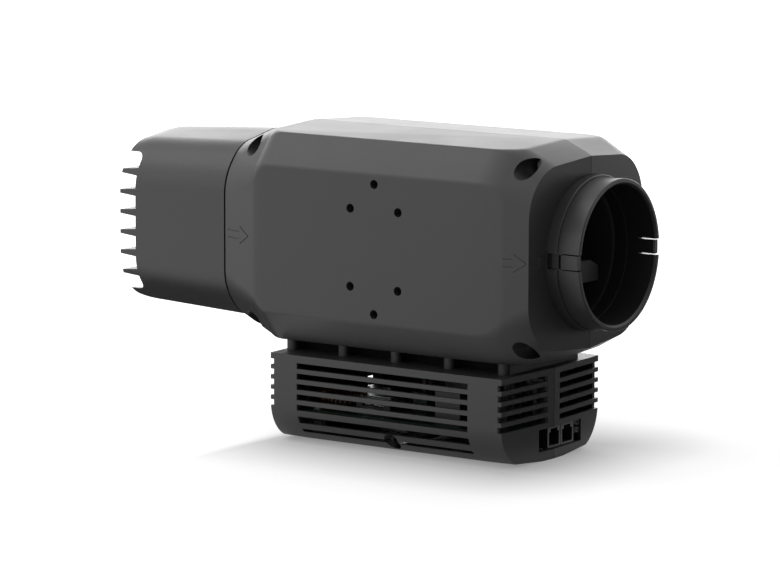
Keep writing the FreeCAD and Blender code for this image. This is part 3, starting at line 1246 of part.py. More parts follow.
def box_section(width, wall):
    """Half of the box's cross section: upright side, rounded lower side, floor that rises to the corner."""
    box_top = -size("body_half_height") - size("stand_height")
    top, floor = box_top - wall, box_top - size("box_height") + wall
    radius = size("box_curve_radius") - wall
    centre = width - size("box_curve_radius")
    start = box_top - size("box_curve_drop")
    corner_out = size("box_corner") - wall / 2

    def on_curve(across):
        return Vector(0, -across, start - math.sqrt(radius ** 2 - (across - centre) ** 2))

    low = on_curve(corner_out)
    side = Vector(0, -(width - wall), start)
    middle = on_curve((width - wall + corner_out) / 2 + wall)
    points = [Vector(0, 0, top), Vector(0, -(width - wall), top), side]
    edges = [Part.LineSegment(a, b).toShape() for a, b in zip(points, points[1:])]
    edges.append(Part.Arc(side, middle, low).toShape())
    land = Vector(0, -size("box_land"), floor)
    points = [low, land, Vector(0, 0, floor), Vector(0, 0, top)]
    edges += [Part.LineSegment(a, b).toShape() for a, b in zip(points, points[1:])]
    return Part.Wire(edges)


def box_solid(wall):
    """The near half of the box as a block, inside of a wall on every side but the seam."""
    length, fold, draft = size("box_length"), size("box_fold"), size("box_draft")
    wide, end = size("box_half_width"), size("box_end_half_width")
    edge_width = end + (wide - end) * wall / fold
    stations = [(wall, edge_width, -draft), (fold, wide, 0), (length - fold, wide, 0),
                (length - wall, edge_width, draft)]
    wires = [place_section(box_section(width, wall), -size("box_outlet") - place, turn)
             for place, width, turn in stations]
    return Part.makeLoft(wires, True, True)


box_block = drawn("BoxBlock", box_solid(0.0))
box_hollow = drawn("BoxHollow", box_solid(size("box_wall")))
BOX_FACE = "-box_outlet"
BOX_BACK = "-(box_outlet + box_length)"
BOX_MIDDLE = "-(box_outlet + box_length / 2)"
BOARD_TOP = "-(box_drop + board_drop)"
BOARD_LOW = "-(box_drop + board_drop + board_thickness)"
NOTCH = "(box_wall + box_half_width * tan(box_draft))"

side_slots, end_slots = [], []
rows = [(f"louvre_drop + {row} * louvre_pitch", "louvre_height") for row in range(5)]
rows += [("curved_louvre_drop", "curved_louvre_height"), ("lowest_louvre_drop", "lowest_louvre_height")]
for row, (drop, height) in enumerate(rows):
    side_slots.append(block(
        f"SideSlot{row}",
        (f"{BOX_MIDDLE} - louvre_shift - louvre_length / 2",
         f"{BOX_MIDDLE} - louvre_shift + louvre_length / 2"),
        ("-box_half_width - 1", "-box_corner"),
        (f"-box_drop - ({drop}) - {height}", f"-box_drop - ({drop})")))
for row in range(5):
    top = f"-box_drop - end_louvre_drop - {row} * end_louvre_pitch"
    for end, span in (("Outlet", (f"{BOX_FACE} - {NOTCH}", "0")),
                      ("Inlet", (f"{BOX_BACK} - 5", f"{BOX_BACK} + {NOTCH}"))):
        end_slots.append(block(f"EndSlot{end}{row}", span, ("-box_half_width - 1", "-end_louvre_inset"),
                               (f"{top} - louvre_height", top)))
BOARD_SCREWS = [("Outlet", "-(box_outlet + board_screw_inset)"),
                ("Inlet", "-(box_outlet + box_length - board_screw_inset)")]
board_bosses = [rod(f"BoardBoss{end}", "z", "screw_radius + boss_wall", FLOOR, BOARD_LOW, x=x,
                    y="-board_screw_side")
                for end, x in BOARD_SCREWS]
board_holes = [rod(f"BoardHole{end}", "z", "board_screw_radius + fit_gap",
                   "-(box_drop + board_drop + board_screw_length)", f"{BOARD_TOP} + 1",
                   x=x, y="-board_screw_side")
               for end, x in BOARD_SCREWS]
box_pocket = {"x": f"{BOX_MIDDLE} + box_pocket_shift", "z": f"{FLOOR} + box_pocket_rise"}
pocket_boss = rod("BoxPocketBoss", "y", "box_pocket_radius + boss_wall", "-box_half_width",
                  "-box_pocket_floor + screw_head_height", **box_pocket)
screw_boss = rod("BoxScrewBoss", "y", "screw_radius + boss_wall", "-box_pocket_floor", "0", **box_pocket)
box_way = rod("BoxScrewWay", "y", "screw_radius + screw_clearance", "-box_pocket_floor - 1", "1",
              **box_pocket)
pocket_way = rod("BoxPocketWay", "y", "box_pocket_radius", "-box_half_width - 1", "-box_pocket_floor",
                 **box_pocket)
stand_ways = [rod(f"BoxWay{end}", "z", "screw_radius + screw_clearance", "-box_drop - box_wall - 1",
                  "-box_drop + 1", x=x, y="-stand_screw_side") for end, x in STAND_SCREWS]
cable_slot = block("BoxCableSlot", CABLE_SPAN, ("-cable_half_width", "1"),
                   ("-box_drop - box_wall - 1", "-box_drop + 1"))
box_seam = block("BoxSeam", (f"{BOX_BACK} - 5", "0"), ("-box_seam_gap / 2", "5"),
                 (f"{FLOOR} - 1", "-box_drop + 1"))
inner_bosses = common("BoxBosses", fuse("BoxBossGroup", *board_bosses, pocket_boss, screw_boss), box_block)
box_shell = fuse("BoxShell", cut("BoxWalls", box_block, box_hollow), inner_bosses)
box_half = cut("BoxHalf", box_shell, *side_slots, *end_slots, *board_holes, *stand_ways, box_way,
               cable_slot, box_seam)
PORT_TOP = f"{BOARD_LOW} - port_margin"
port_window = block("PortWindow", (f"{BOX_FACE} - 3 * box_wall", "0"), ("-port_low", "port_high"),
                    (f"{PORT_TOP} - port_height", PORT_TOP))
subpart("box_near", cut("BoxNear", box_half, port_window, pocket_way))
subpart("box_far", cut("BoxFar", mirror("BoxFarWhole", box_half), port_window))
subpart("box_screw", screw("BoxScrew", "y", "-box_pocket_floor", "box_screw_grip", 1, **box_pocket))


# Circuit board on four bosses, and the parts that stand on it

BOARD_START = "-(box_outlet + box_length - box_wall - board_gap)"
BOARD_END = "-(box_outlet + box_wall + board_gap)"
board = new_body("Board")
outline = sketch_on(board, "XY_Plane", "BoardOutline", BOARD_LOW)
add_outline(outline, [
    (BOARD_START, "-board_half_width + board_clip"), (f"{BOARD_START} + board_clip", "-board_half_width"),
    (f"{BOARD_END} - board_clip", "-board_half_width"), (BOARD_END, "-board_half_width + board_clip"),
    (BOARD_END, "board_half_width - board_clip"), (f"{BOARD_END} - board_clip", "board_half_width"),
    (f"{BOARD_START} + board_clip", "board_half_width"), (BOARD_START, "board_half_width - board_clip"),
])
pad(board, outline, "BoardPad", "board_thickness")
board_screws, board_ways = [], []
for end, x in BOARD_SCREWS:
    for side, sign in (("Near", "-1"), ("Far", "1")):
        place = {"x": x, "y": f"{sign} * board_screw_side"}
        board_ways.append(rod(f"BoardWay{end}{side}", "z", "board_screw_radius + fit_gap",
                              FLOOR, "-box_drop", **place))
        head = rod(f"BoardScrewHead{end}{side}", "z", "board_head_radius", BOARD_TOP,
                   f"{BOARD_TOP} + board_head_height", **place)
        shank = rod(f"BoardScrewShank{end}{side}", "z", "board_screw_radius",
                    "-(box_drop + board_drop + board_screw_length)", BOARD_TOP, **place)
        board_screws.append(fuse(f"BoardScrew{end}{side}", head, shank))
subpart("circuit_board", cut("CircuitBoard", board, *board_ways))
subpart("board_screws", group("BoardScrews", *board_screws))


def on_board(along, across, length, width):
    """Spans along and across the board of a part whose middle is given from the board's outlet end."""
    return ((f"{BOARD_END} - ({along}) - ({length}) / 2", f"{BOARD_END} - ({along}) + ({length}) / 2"),
            (f"({across}) - ({width}) / 2", f"({across}) + ({width}) / 2"))


spans = on_board("transformer_place", "transformer_side", "transformer_length", "transformer_width")
winding = block("TransformerCoil", *spans,
                (f"{BOARD_TOP} + coil_inset", f"{BOARD_TOP} + transformer_height - coil_inset"))
spans = on_board("transformer_place", "transformer_side", "core_length",
                 "transformer_width + 2 * core_overhang")
iron = block("TransformerCore", *spans, (BOARD_TOP, f"{BOARD_TOP} + transformer_height"))
subpart("transformer", fuse("Transformer", winding, iron))
relays = []
for name, along in (("RelayA", "relay_place"), ("RelayB", "relay_place + relay_pitch")):
    spans = on_board(along, "relay_side", "relay_length", "relay_width")
    relays.append(block(name, *spans, (BOARD_TOP, f"{BOARD_TOP} + relay_height")))
subpart("relays", group("Relays", *relays))
capacitors = []
for number in range(3):
    capacitors.append(rod(f"Capacitor{number}", "z", "capacitor_radius", BOARD_TOP,
                          f"{BOARD_TOP} + capacitor_height",
                          x=f"{BOARD_END} - capacitor_place - {number} * capacitor_pitch",
                          y="capacitor_side"))
subpart("capacitors", group("Capacitors", *capacitors))
spans = on_board("sink_place", "sink_side", "sink_length", "sink_width")
sink = block("SinkBlock", *spans, (BOARD_TOP, f"{BOARD_TOP} + sink_height"))
sink_cuts = []
for number in range(int((size("sink_length") - size("sink_fin")) / size("sink_pitch"))):
    start = f"{spans[0][0]} + sink_fin + {number} * sink_pitch"
    sink_cuts.append(block(f"SinkCut{number}", (start, f"{start} + sink_pitch - sink_fin"),
                           (f"{spans[1][0]} + sink_base", f"{spans[1][1]} + 1"),
                           (f"{BOARD_TOP} + sink_base", f"{BOARD_TOP} + sink_height + 1")))
subpart("heat_sink", cut("Sink", sink, *sink_cuts))
choke = document.addObject("Part::Torus", "Choke")
bind(choke, "Radius1", "choke_radius")
bind(choke, "Radius2", "choke_wire")
bind(choke, "Placement.Base.x", f"{BOARD_END} - choke_place")
bind(choke, "Placement.Base.y", "choke_side")
bind(choke, "Placement.Base.z", f"{BOARD_TOP} + choke_wire")
subpart("choke", group("ChokePiece", choke))
spans = on_board("heater_place - box_outlet - box_wall - board_gap - terminal_offset", "0",
                 "terminal_block_length",
                 "terminal_block_width")
terminal_block = block("TerminalBlock", *spans, (BOARD_TOP, f"{BOARD_TOP} + terminal_height + lead_grip"))
wire_ways = [rod(f"WireWay{side}", "z", "lead_radius + fit_gap", f"{BOARD_TOP} + terminal_height",
                 f"{BOARD_TOP} + terminal_height + lead_grip + 1", x="-heater_place + terminal_offset",
                 y=f"{sign} * lead_side") for side, sign in (("Near", "-1"), ("Far", "1"))]
subpart("terminal_block", cut("TerminalBody", terminal_block, *wire_ways))
spans = on_board("fuse_place", "fuse_side", "fuse_length + 2 * fuse_clip", "fuse_radius * 3")
holder = block("FuseHolder", *spans, (BOARD_TOP, f"{BOARD_TOP} + fuse_radius * 2"))
spans = on_board("fuse_place", "fuse_side", "fuse_length", "fuse_radius * 4")
holder_gap = block("FuseGap", *spans, (f"{BOARD_TOP} + fuse_radius", f"{BOARD_TOP} + fuse_radius * 3"))
fuse_ends = on_board("fuse_place", "fuse_side", "fuse_length + 2 * fuse_cap", "fuse_radius")[0]
fuse_rod, fuse_seat = [rod(name, "x", "fuse_radius", *fuse_ends, y="fuse_side",
                           z=f"{BOARD_TOP} + fuse_radius * 2")
                       for name in ("FuseGlass", "FuseSeat")]
subpart("fuse_holder", cut("Holder", holder, holder_gap, fuse_seat))
subpart("glass_fuse", fuse_rod)

shield_face = f"{BOARD_START} + shield_inset"
shield_back = f"{shield_face} + shield_thickness"
shield_plate = block("ShieldPlate", (shield_face, shield_back), ("-shield_half_width", "shield_half_width"),
                     (BOARD_TOP, f"{BOARD_TOP} + shield_height"))
shield_feet = []
for side, sign in (("Near", "-1"), ("Far", "1")):
    middle = f"{sign} * shield_foot_side"
    shield_feet.append(block(f"ShieldFoot{side}", (shield_back, f"{shield_back} + shield_foot"),
                             (f"{middle} - shield_foot / 2", f"{middle} + shield_foot / 2"),
                             (BOARD_TOP, f"{BOARD_TOP} + shield_thickness")))
    shield_feet.append(block(f"ShieldRib{side}", (shield_back, f"{shield_back} + shield_foot"),
                             (f"{middle} - shield_thickness / 2", f"{middle} + shield_thickness / 2"),
                             (BOARD_TOP, f"{BOARD_TOP} + 2 * shield_foot")))
subpart("end_shield", fuse("EndShield", shield_plate, *shield_feet))


# Network sockets under the board with their contacts, status light, and a sprung button in its switch

SOCKET_FACE = f"{BOX_FACE} - box_wall - fit_gap"
SOCKET_TOP = f"{BOARD_LOW} - 2 * port_margin"
contacts = []
for number, label in enumerate(("socket_one", "socket_two")):
    middle = f"socket_place + {number} * socket_pitch"
    name = "SocketOne" if number == 0 else "SocketTwo"
    socket = new_body(name)
    outline = sketch_on(socket, "YZ_Plane", f"{name}Outline", f"{SOCKET_FACE} - socket_depth")
    add_rectangle(outline, (f"{middle} - socket_width / 2", f"{middle} + socket_width / 2"),
                  (f"{SOCKET_TOP} - socket_height", SOCKET_TOP))
    pad(socket, outline, f"{name}Pad", "socket_depth")
    plug_low = f"{SOCKET_TOP} - socket_height + socket_floor"
    cavity = sketch_on(socket, "YZ_Plane", f"{name}Cavity", SOCKET_FACE)
    add_outline(cavity, [
        (f"{middle} - plug_width / 2", plug_low),
        (f"{middle} + plug_width / 2", plug_low),
        (f"{middle} + plug_width / 2", f"{plug_low} + plug_height"),
        (f"{middle} + latch_width / 2", f"{plug_low} + plug_height"),
        (f"{middle} + latch_width / 2", f"{SOCKET_TOP} - socket_floor"),
        (f"{middle} - latch_width / 2", f"{SOCKET_TOP} - socket_floor"),
        (f"{middle} - latch_width / 2", f"{plug_low} + plug_height"),
        (f"{middle} - plug_width / 2", f"{plug_low} + plug_height"),
    ])
    pocket(socket, cavity, f"{name}Pocket", "plug_depth")
    foot = block(f"{name}Foot", (f"{SOCKET_FACE} - socket_depth", f"{SOCKET_FACE} - socket_depth / 2"),
                 (f"{middle} - plug_width / 2", f"{middle} + plug_width / 2"), (SOCKET_TOP, BOARD_LOW))
    subpart(label, fuse(f"{name}Whole", socket, foot))
    for pin in range(6):
        y = f"{middle} + ({pin} - 2.5) * contact_pitch"
        contacts.append(block(f"{name}Contact{pin}", (f"{SOCKET_FACE} - plug_depth",
                                                      f"{SOCKET_FACE} - socket_floor * 3"),
                              (f"{y} - contact_half_width", f"{y} + contact_half_width"),
                              (plug_low, f"{plug_low} + 2 * contact_half_width")))
subpart("socket_contacts", group("Contacts", *contacts))
spans = ((f"{SOCKET_FACE} - light_depth", SOCKET_FACE), ("button_place - light_side / 2",
                                                         "button_place + light_side / 2"))
light = block("StatusLamp", *spans, (f"{SOCKET_TOP} - light_side", SOCKET_TOP))
light_foot = block("StatusFoot", (f"{SOCKET_FACE} - light_depth", f"{SOCKET_FACE} - light_depth / 2"),
                   spans[1],
                   (SOCKET_TOP, BOARD_LOW))
subpart("status_light", fuse("StatusLight", light, light_foot))
BUTTON_LOW = f"{SOCKET_TOP} - button_drop - button_side"
switch_face = f"{SOCKET_FACE} - button_travel - 2 * port_margin"
switch_body = block("SwitchBody", (f"{switch_face} - switch_depth", switch_face),
                    ("button_place - switch_side / 2", "button_place + switch_side / 2"),
                    (f"{BUTTON_LOW} - (switch_side - button_side) / 2",
                     f"{BUTTON_LOW} + (switch_side + button_side) / 2"))
switch_leg = block("SwitchLeg", (f"{switch_face} - switch_depth", f"{switch_face} - light_depth"),
                   ("button_place - switch_side / 2", "button_place + switch_side / 2"),
                   (BUTTON_LOW, BOARD_LOW))
button_way = block("ButtonWay", (f"{switch_face} - button_depth", "0"),
                   ("button_place - button_side / 2 - button_play",
                    "button_place + button_side / 2 + button_play"),
                   (f"{BUTTON_LOW} - button_play", f"{BUTTON_LOW} + button_side + button_play"))
subpart("button_switch", cut("Switch", fuse("SwitchWhole", switch_body, switch_leg), button_way))
subpart("service_button", block("Button", (f"{switch_face} - button_depth + 2 * button_travel",
                                           SOCKET_FACE),
                                ("button_place - button_side / 2", "button_place + button_side / 2"),
                                (BUTTON_LOW, f"{BUTTON_LOW} + button_side")))


# Every object is tested, then each sub-part is written under its own name

document.recompute()
for item in document.Objects:
    if "Invalid" in item.State or "Error" in item.State:
        raise RuntimeError(f"{item.Name} failed: {item.State}")
os.makedirs("parts", exist_ok=True)
for item in SUBPARTS:
    shape = item.Shape
    if shape.isNull() or not shape.isValid() or not shape.Solids:
        raise RuntimeError(f"{item.Label} has no valid solid")
    shape.exportStep(f"parts/{item.Label}.step")
    print(item.Label, len(shape.Solids), "solids", round(shape.Volume), "cubic mm")
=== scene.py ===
import json
import math
import bmesh
import bpy
from mathutils import Matrix, Vector


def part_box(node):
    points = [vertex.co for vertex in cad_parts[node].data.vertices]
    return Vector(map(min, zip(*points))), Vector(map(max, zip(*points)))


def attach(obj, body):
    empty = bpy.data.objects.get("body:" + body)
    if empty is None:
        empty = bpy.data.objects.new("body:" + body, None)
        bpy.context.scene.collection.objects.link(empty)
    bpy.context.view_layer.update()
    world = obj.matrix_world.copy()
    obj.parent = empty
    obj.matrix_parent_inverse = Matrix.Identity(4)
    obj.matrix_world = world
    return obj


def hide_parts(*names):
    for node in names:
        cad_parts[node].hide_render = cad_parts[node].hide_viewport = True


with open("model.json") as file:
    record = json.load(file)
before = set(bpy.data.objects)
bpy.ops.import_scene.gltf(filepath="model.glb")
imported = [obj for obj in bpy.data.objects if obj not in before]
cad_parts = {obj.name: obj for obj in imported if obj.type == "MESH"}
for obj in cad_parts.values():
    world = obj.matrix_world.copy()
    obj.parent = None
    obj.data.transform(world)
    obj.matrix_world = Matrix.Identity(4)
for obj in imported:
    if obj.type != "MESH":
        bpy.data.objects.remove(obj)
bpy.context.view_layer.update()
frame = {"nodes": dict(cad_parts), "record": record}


# Camera: a long lens a little above the duct, looking at the near side and the outlet end.
# The photograph is taken to be 780 by 575 pixels.
def in_scene(name, data):
    """A new object in the scene, at the origin."""
    made = bpy.data.objects.new(name, data)
    bpy.context.scene.collection.objects.link(made)
    return made


AROUND, DOWN, ROLL = math.radians(34.654), math.radians(8.657), math.radians(0.17)
SENSOR_WIDTH = 36.0
PHOTO_WIDTH = 780
FOCAL_PIXELS = 4106.8
CAMERA_PLACE = (1.2484, -1.8048, 0.4161)
camera_data = bpy.data.cameras.new("camera")
camera_data.sensor_width = SENSOR_WIDTH
camera_data.lens = SENSOR_WIDTH * FOCAL_PIXELS / PHOTO_WIDTH
camera_data.clip_start, camera_data.clip_end = 0.05, 50.0
camera = in_scene("camera", camera_data)
right = Vector((math.cos(AROUND), math.sin(AROUND), 0))
ahead = Vector((-math.sin(AROUND) * math.cos(DOWN), math.cos(AROUND) * math.cos(DOWN), -math.sin(DOWN)))
turned = Matrix((right, right.cross(ahead), -ahead)).transposed() @ Matrix.Rotation(ROLL, 3, "Z")
camera.matrix_world = Matrix.Translation(CAMERA_PLACE) @ turned.to_4x4()
bpy.context.scene.camera = camera
bpy.context.scene.view_settings.view_transform = "Standard"


# Stage: a pale floor and a white surround, as the camera, metal and glass see them, with large soft lamps
# behind, above, in front and to the left. The floor's glow is painted light, weakest beside the box. Dull
# cloths on the floor, seen only in reflections, paint shade into the lower faces and the outlet end, and a
# dark screen past the outlet end keeps that end deep.
def node_material(name):
    """A new material with its Principled shader."""
    made = bpy.data.materials.new(name)
    made.use_nodes = True
    return made, made.node_tree.nodes, made.node_tree.links, made.node_tree.nodes["Principled BSDF"]


def stage_sheet(name, corners, material):
    """A flat sheet of the studio through four corners."""
    mesh = bpy.data.meshes.new(name)
    mesh.from_pydata(corners, [], [(0, 1, 2, 3)])
    mesh.materials.append(material)
    sheet = in_scene(name, mesh)
    return sheet


def dull_material(name, tone, roughness=1.0):
    """A grey with no gloss, for cloth, card and painted floor."""
    made, nodes, links, shader = node_material(name)
    shader.inputs["Base Color"].default_value = (tone, tone, tone, 1)
    shader.inputs["Roughness"].default_value = roughness
    shader.inputs["Specular IOR Level"].default_value = 0.0
    return made, nodes, links, shader


def seen_directly(nodes, links):
    """A mask that is 1 for what the camera sees, and for what metal and glass mirror or show through."""
    path = nodes.new("ShaderNodeLightPath")
    first, second = nodes.new("ShaderNodeMath"), nodes.new("ShaderNodeMath")
    first.operation = second.operation = "MAXIMUM"
    links.new(path.outputs["Is Camera Ray"], first.inputs[0])
    links.new(path.outputs["Is Transmission Ray"], first.inputs[1])
    links.new(first.outputs[0], second.inputs[0])
    links.new(path.outputs["Is Glossy Ray"], second.inputs[1])
    return second.outputs[0]


FLOOR_HALF = 6.0
FLOOR_TONE = 0.62
PAINTED_GLOW_REACH = 2.0
# Stops of the painted glow, as a share of its reach and its strength: weakest at the foot of the box
PAINTED_GLOW_STOPS = ((0.0, 0.25), (0.033, 0.62), (0.08, 0.74), (1.0, 1.0))
LEFT_STRETCH = 8.0
floor_material, nodes, links, shader = dull_material("floor_painted_glow", FLOOR_TONE, roughness=0.9)

# How far a point of the floor lies past the box, counted several times over on the inlet side
place = nodes.new("ShaderNodeTexCoord")
foot_low, foot_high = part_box("box_near")[0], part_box("box_far")[1]
past_high, past_low, stretch, past, outside, away = [nodes.new("ShaderNodeVectorMath") for _ in range(6)]
past_high.operation = past_low.operation = "SUBTRACT"
past_high.inputs[1].default_value = (foot_high[0], foot_high[1], 0)
past_low.inputs[0].default_value = (foot_low[0], foot_low[1], 0)
stretch.operation = "MULTIPLY"
stretch.inputs[1].default_value = (LEFT_STRETCH, 1, 1)
past.operation = outside.operation = "MAXIMUM"
outside.inputs[1].default_value = (0, 0, 0)
away.operation = "LENGTH"
links.new(place.outputs["Object"], past_high.inputs[0])
links.new(place.outputs["Object"], past_low.inputs[1])
links.new(past_low.outputs["Vector"], stretch.inputs[0])
links.new(past_high.outputs["Vector"], past.inputs[0])
links.new(stretch.outputs["Vector"], past.inputs[1])
links.new(past.outputs["Vector"], outside.inputs[0])
links.new(outside.outputs["Vector"], away.inputs[0])

# Painted light: seen directly or mirrored, the floor glows whiter with that distance. The glow is weakest
# beside the box, so the real shadow there stays and is painted deeper, and stretched on the inlet side it
# paints out the hood's shadow
share = nodes.new("ShaderNodeMath")
share.operation = "DIVIDE"
share.inputs[1].default_value = PAINTED_GLOW_REACH
links.new(away.outputs["Value"], share.inputs[0])
painted_glow = nodes.new("ShaderNodeValToRGB")
while len(painted_glow.color_ramp.elements) < len(PAINTED_GLOW_STOPS):
    painted_glow.color_ramp.elements.new(0.5)
for stop, (at, glow) in zip(painted_glow.color_ramp.elements, PAINTED_GLOW_STOPS):
    stop.position = at
    stop.color = (glow, glow, glow, 1)
links.new(share.outputs[0], painted_glow.inputs[0])
shown = nodes.new("ShaderNodeMath")
shown.operation = "MULTIPLY"
links.new(painted_glow.outputs["Color"], shown.inputs[0])
links.new(seen_directly(nodes, links), shown.inputs[1])
links.new(shown.outputs[0], shader.inputs["Emission Strength"])
shader.inputs["Emission Color"].default_value = (1, 1, 1, 1)
FLOOR_CORNERS = ((-1, -1), (1, -1), (1, 1), (-1, 1))
stage_sheet("floor", [(x * FLOOR_HALF, y * FLOOR_HALF, 0) for x, y in FLOOR_CORNERS], floor_material)

CLOTH_HEIGHT = 0.002


def reflection_shade_cloth(name, tone, low, high):
    """A dull cloth laid on the floor from a low to a high corner, seen by gloss, metal and glass alone:
    painted shade in reflections.
    """
    corners = [(low[0], low[1]), (high[0], low[1]), (high[0], high[1]), (low[0], high[1])]
    cloth = stage_sheet(name, [(x, y, CLOTH_HEIGHT) for x, y in corners], dull_material(name, tone)[0])
    cloth.visible_camera = False
    cloth.visible_shadow = False
    cloth.visible_diffuse = False


# Painted shade in reflections: a near-black cloth past the outlet end and a grey one under the hood
reflection_shade_cloth("dark_reflection_shade", 0.03, (0.12, -0.3), (0.7, 0.9))
reflection_shade_cloth("grey_reflection_shade", 0.09, (-0.5, -0.1), (-0.09, 0.9))

SCREEN_TONE, SCREEN_AWAY = 0.03, 1.1
SCREEN_NEAR, SCREEN_FAR, SCREEN_FOOT, SCREEN_HEAD = -0.9, 1.0, 0.05, 0.9
screen_corners = [(SCREEN_NEAR, SCREEN_FOOT), (SCREEN_FAR, SCREEN_FOOT), (SCREEN_FAR, SCREEN_HEAD),
                  (SCREEN_NEAR, SCREEN_HEAD)]
screen = stage_sheet("dark_screen", [(SCREEN_AWAY, y, z) for y, z in screen_corners],
                     dull_material("dark_screen", SCREEN_TONE)[0])
screen.visible_camera = False

SURROUND = 0.36
SHOWN_SURROUND = 1.0
world = bpy.data.worlds.new("surround")
bpy.context.scene.world = world
world.use_nodes = True
nodes, links = world.node_tree.nodes, world.node_tree.links
dim = nodes["Background"]
dim.inputs["Color"].default_value = (1, 1, 1, 1)
dim.inputs["Strength"].default_value = SURROUND
white = nodes.new("ShaderNodeBackground")
white.inputs["Color"].default_value = (1, 1, 1, 1)
white.inputs["Strength"].default_value = SHOWN_SURROUND
mixed = nodes.new("ShaderNodeMixShader")
links.new(seen_directly(nodes, links), mixed.inputs["Fac"])
links.new(dim.outputs[0], mixed.inputs[1])
links.new(white.outputs[0], mixed.inputs[2])
links.new(mixed.outputs[0], nodes["World Output"].inputs["Surface"])


def soft_lamp(name, place, width, height, radiance):
    """A rectangular lamp that faces the object; radiance is how bright its surface looks."""
    data = bpy.data.lights.new(name, "AREA")
    data.shape = "RECTANGLE"
    data.size, data.size_y = width, height
    data.energy = radiance * math.pi * width * height
    lamp = in_scene(name, data)
    lamp.location = place
    lamp.rotation_euler = (Vector(MIDDLE) - Vector(place)).to_track_quat("-Z", "Y").to_euler()


MIDDLE = (0.0, 0.0, 0.1)
soft_lamp("back_lamp", (-1.75, 2.5, 1.0), 3.4, 1.2, 3.8)
soft_lamp("high_back_lamp", (-0.3, 1.9, 1.7), 1.2, 0.8, 1.5)
soft_lamp("top_lamp", (0.3, 0.5, 2.4), 1.6, 1.6, 0.6)
soft_lamp("upper_left_lamp", (-1.3, -0.5, 1.9), 1.2, 1.2, 2.0)
soft_lamp("left_lamp", (-2.3, -0.6, 0.9), 1.4, 1.4, 0.6)
soft_lamp("front_left_lamp", (-1.5, -2.2, 1.2), 1.4, 1.4, 1.1)
soft_lamp("front_lamp", (0.2, -2.7, 1.5), 1.4, 1.0, 0.5)
soft_lamp("front_high_lamp", (-0.3, -1.5, 2.3), 1.6, 1.0, 0.45)


# Housing halves: two mouldings of black glass-filled plastic with a fine spark-eroded skin.
# They meet on the seam, and long screws in the four corner pockets hold them together.
MM = 0.001
FLECK_START, FLECK_FULL = 0.55, 0.75


def moulded_skin():
    """Fine eroded grain and slow changes of tone, for everything that comes out of a mould."""
    group = bpy.data.node_groups.new("moulded_skin", "ShaderNodeTree")
    for name, default in (("Grain Size", 0.35), ("Cloud Size", 30.0)):
        socket = group.interface.new_socket(name, in_out="INPUT", socket_type="NodeSocketFloat")
        socket.default_value = default
    for name in ("Grain", "Cloud", "Fleck"):
        group.interface.new_socket(name, in_out="OUTPUT", socket_type="NodeSocketFloat")
    nodes, links = group.nodes, group.links
    entry, leave = nodes.new("NodeGroupInput"), nodes.new("NodeGroupOutput")
    place = nodes.new("ShaderNodeTexCoord")

    def noise(size_socket, detail, rough):
        scale = nodes.new("ShaderNodeMath")
        scale.operation = "DIVIDE"
        scale.inputs[0].default_value = 1 / MM
        links.new(size_socket, scale.inputs[1])
        texture = nodes.new("ShaderNodeTexNoise")
        texture.inputs["Detail"].default_value = detail
        texture.inputs["Roughness"].default_value = rough
        links.new(place.outputs["Object"], texture.inputs["Vector"])
        links.new(scale.outputs[0], texture.inputs["Scale"])
        return texture.outputs["Fac"]

    grain = noise(entry.outputs["Grain Size"], 3.0, 0.6)
    cloud = noise(entry.outputs["Cloud Size"], 4.0, 0.5)
    fleck = nodes.new("ShaderNodeMapRange")
    fleck.inputs["From Min"].default_value = FLECK_START
    fleck.inputs["From Max"].default_value = FLECK_FULL
    links.new(grain, fleck.inputs["Value"])
    links.new(grain, leave.inputs["Grain"])
    links.new(cloud, leave.inputs["Cloud"])
    links.new(fleck.outputs["Result"], leave.inputs["Fleck"])
    return group


SKIN = moulded_skin()


def skinned(nodes, links, shader, roughness, swing, relief, depth):
    """The moulded skin on a shader's roughness and relief; the group node is returned for its other masks."""
    skin = nodes.new("ShaderNodeGroup")
    skin.node_tree = SKIN
    gloss = nodes.new("ShaderNodeMapRange")
    gloss.inputs["To Min"].default_value = roughness - swing
    gloss.inputs["To Max"].default_value = roughness + swing
    links.new(skin.outputs["Cloud"], gloss.inputs["Value"])
    links.new(gloss.outputs["Result"], shader.inputs["Roughness"])
    raised(nodes, links, shader, skin.outputs["Grain"], relief, depth)
    return skin


def raised(nodes, links, shader, height, relief, depth):
    """A height mask as relief on a shader, depth in millimetres."""
    bump = nodes.new("ShaderNodeBump")
    bump.inputs["Strength"].default_value = relief
    bump.inputs["Distance"].default_value = depth * MM
    links.new(height, bump.inputs["Height"])
    links.new(bump.outputs["Normal"], shader.inputs["Normal"])


MIX_MASK, MIX_FIRST, MIX_SECOND, MIX_COLOUR = 0, 6, 7, 2


def mixed_colour(nodes, links, mask, first, second):
    """The output of a mix from first, a colour or another output, to a second colour by a mask."""
    mix = nodes.new("ShaderNodeMix")
    mix.data_type = "RGBA"
    links.new(mask, mix.inputs[MIX_MASK])
    if isinstance(first, bpy.types.NodeSocket):
        links.new(first, mix.inputs[MIX_FIRST])
    else:
        mix.inputs[MIX_FIRST].default_value = (*first, 1)
    mix.inputs[MIX_SECOND].default_value = (*second, 1)
    return mix.outputs[MIX_COLOUR]


CLOUD_DARK, CLOUD_PALE, PLASTIC_SWING, PLASTIC_GRAIN = 0.93, 1.07, 0.05, 0.1


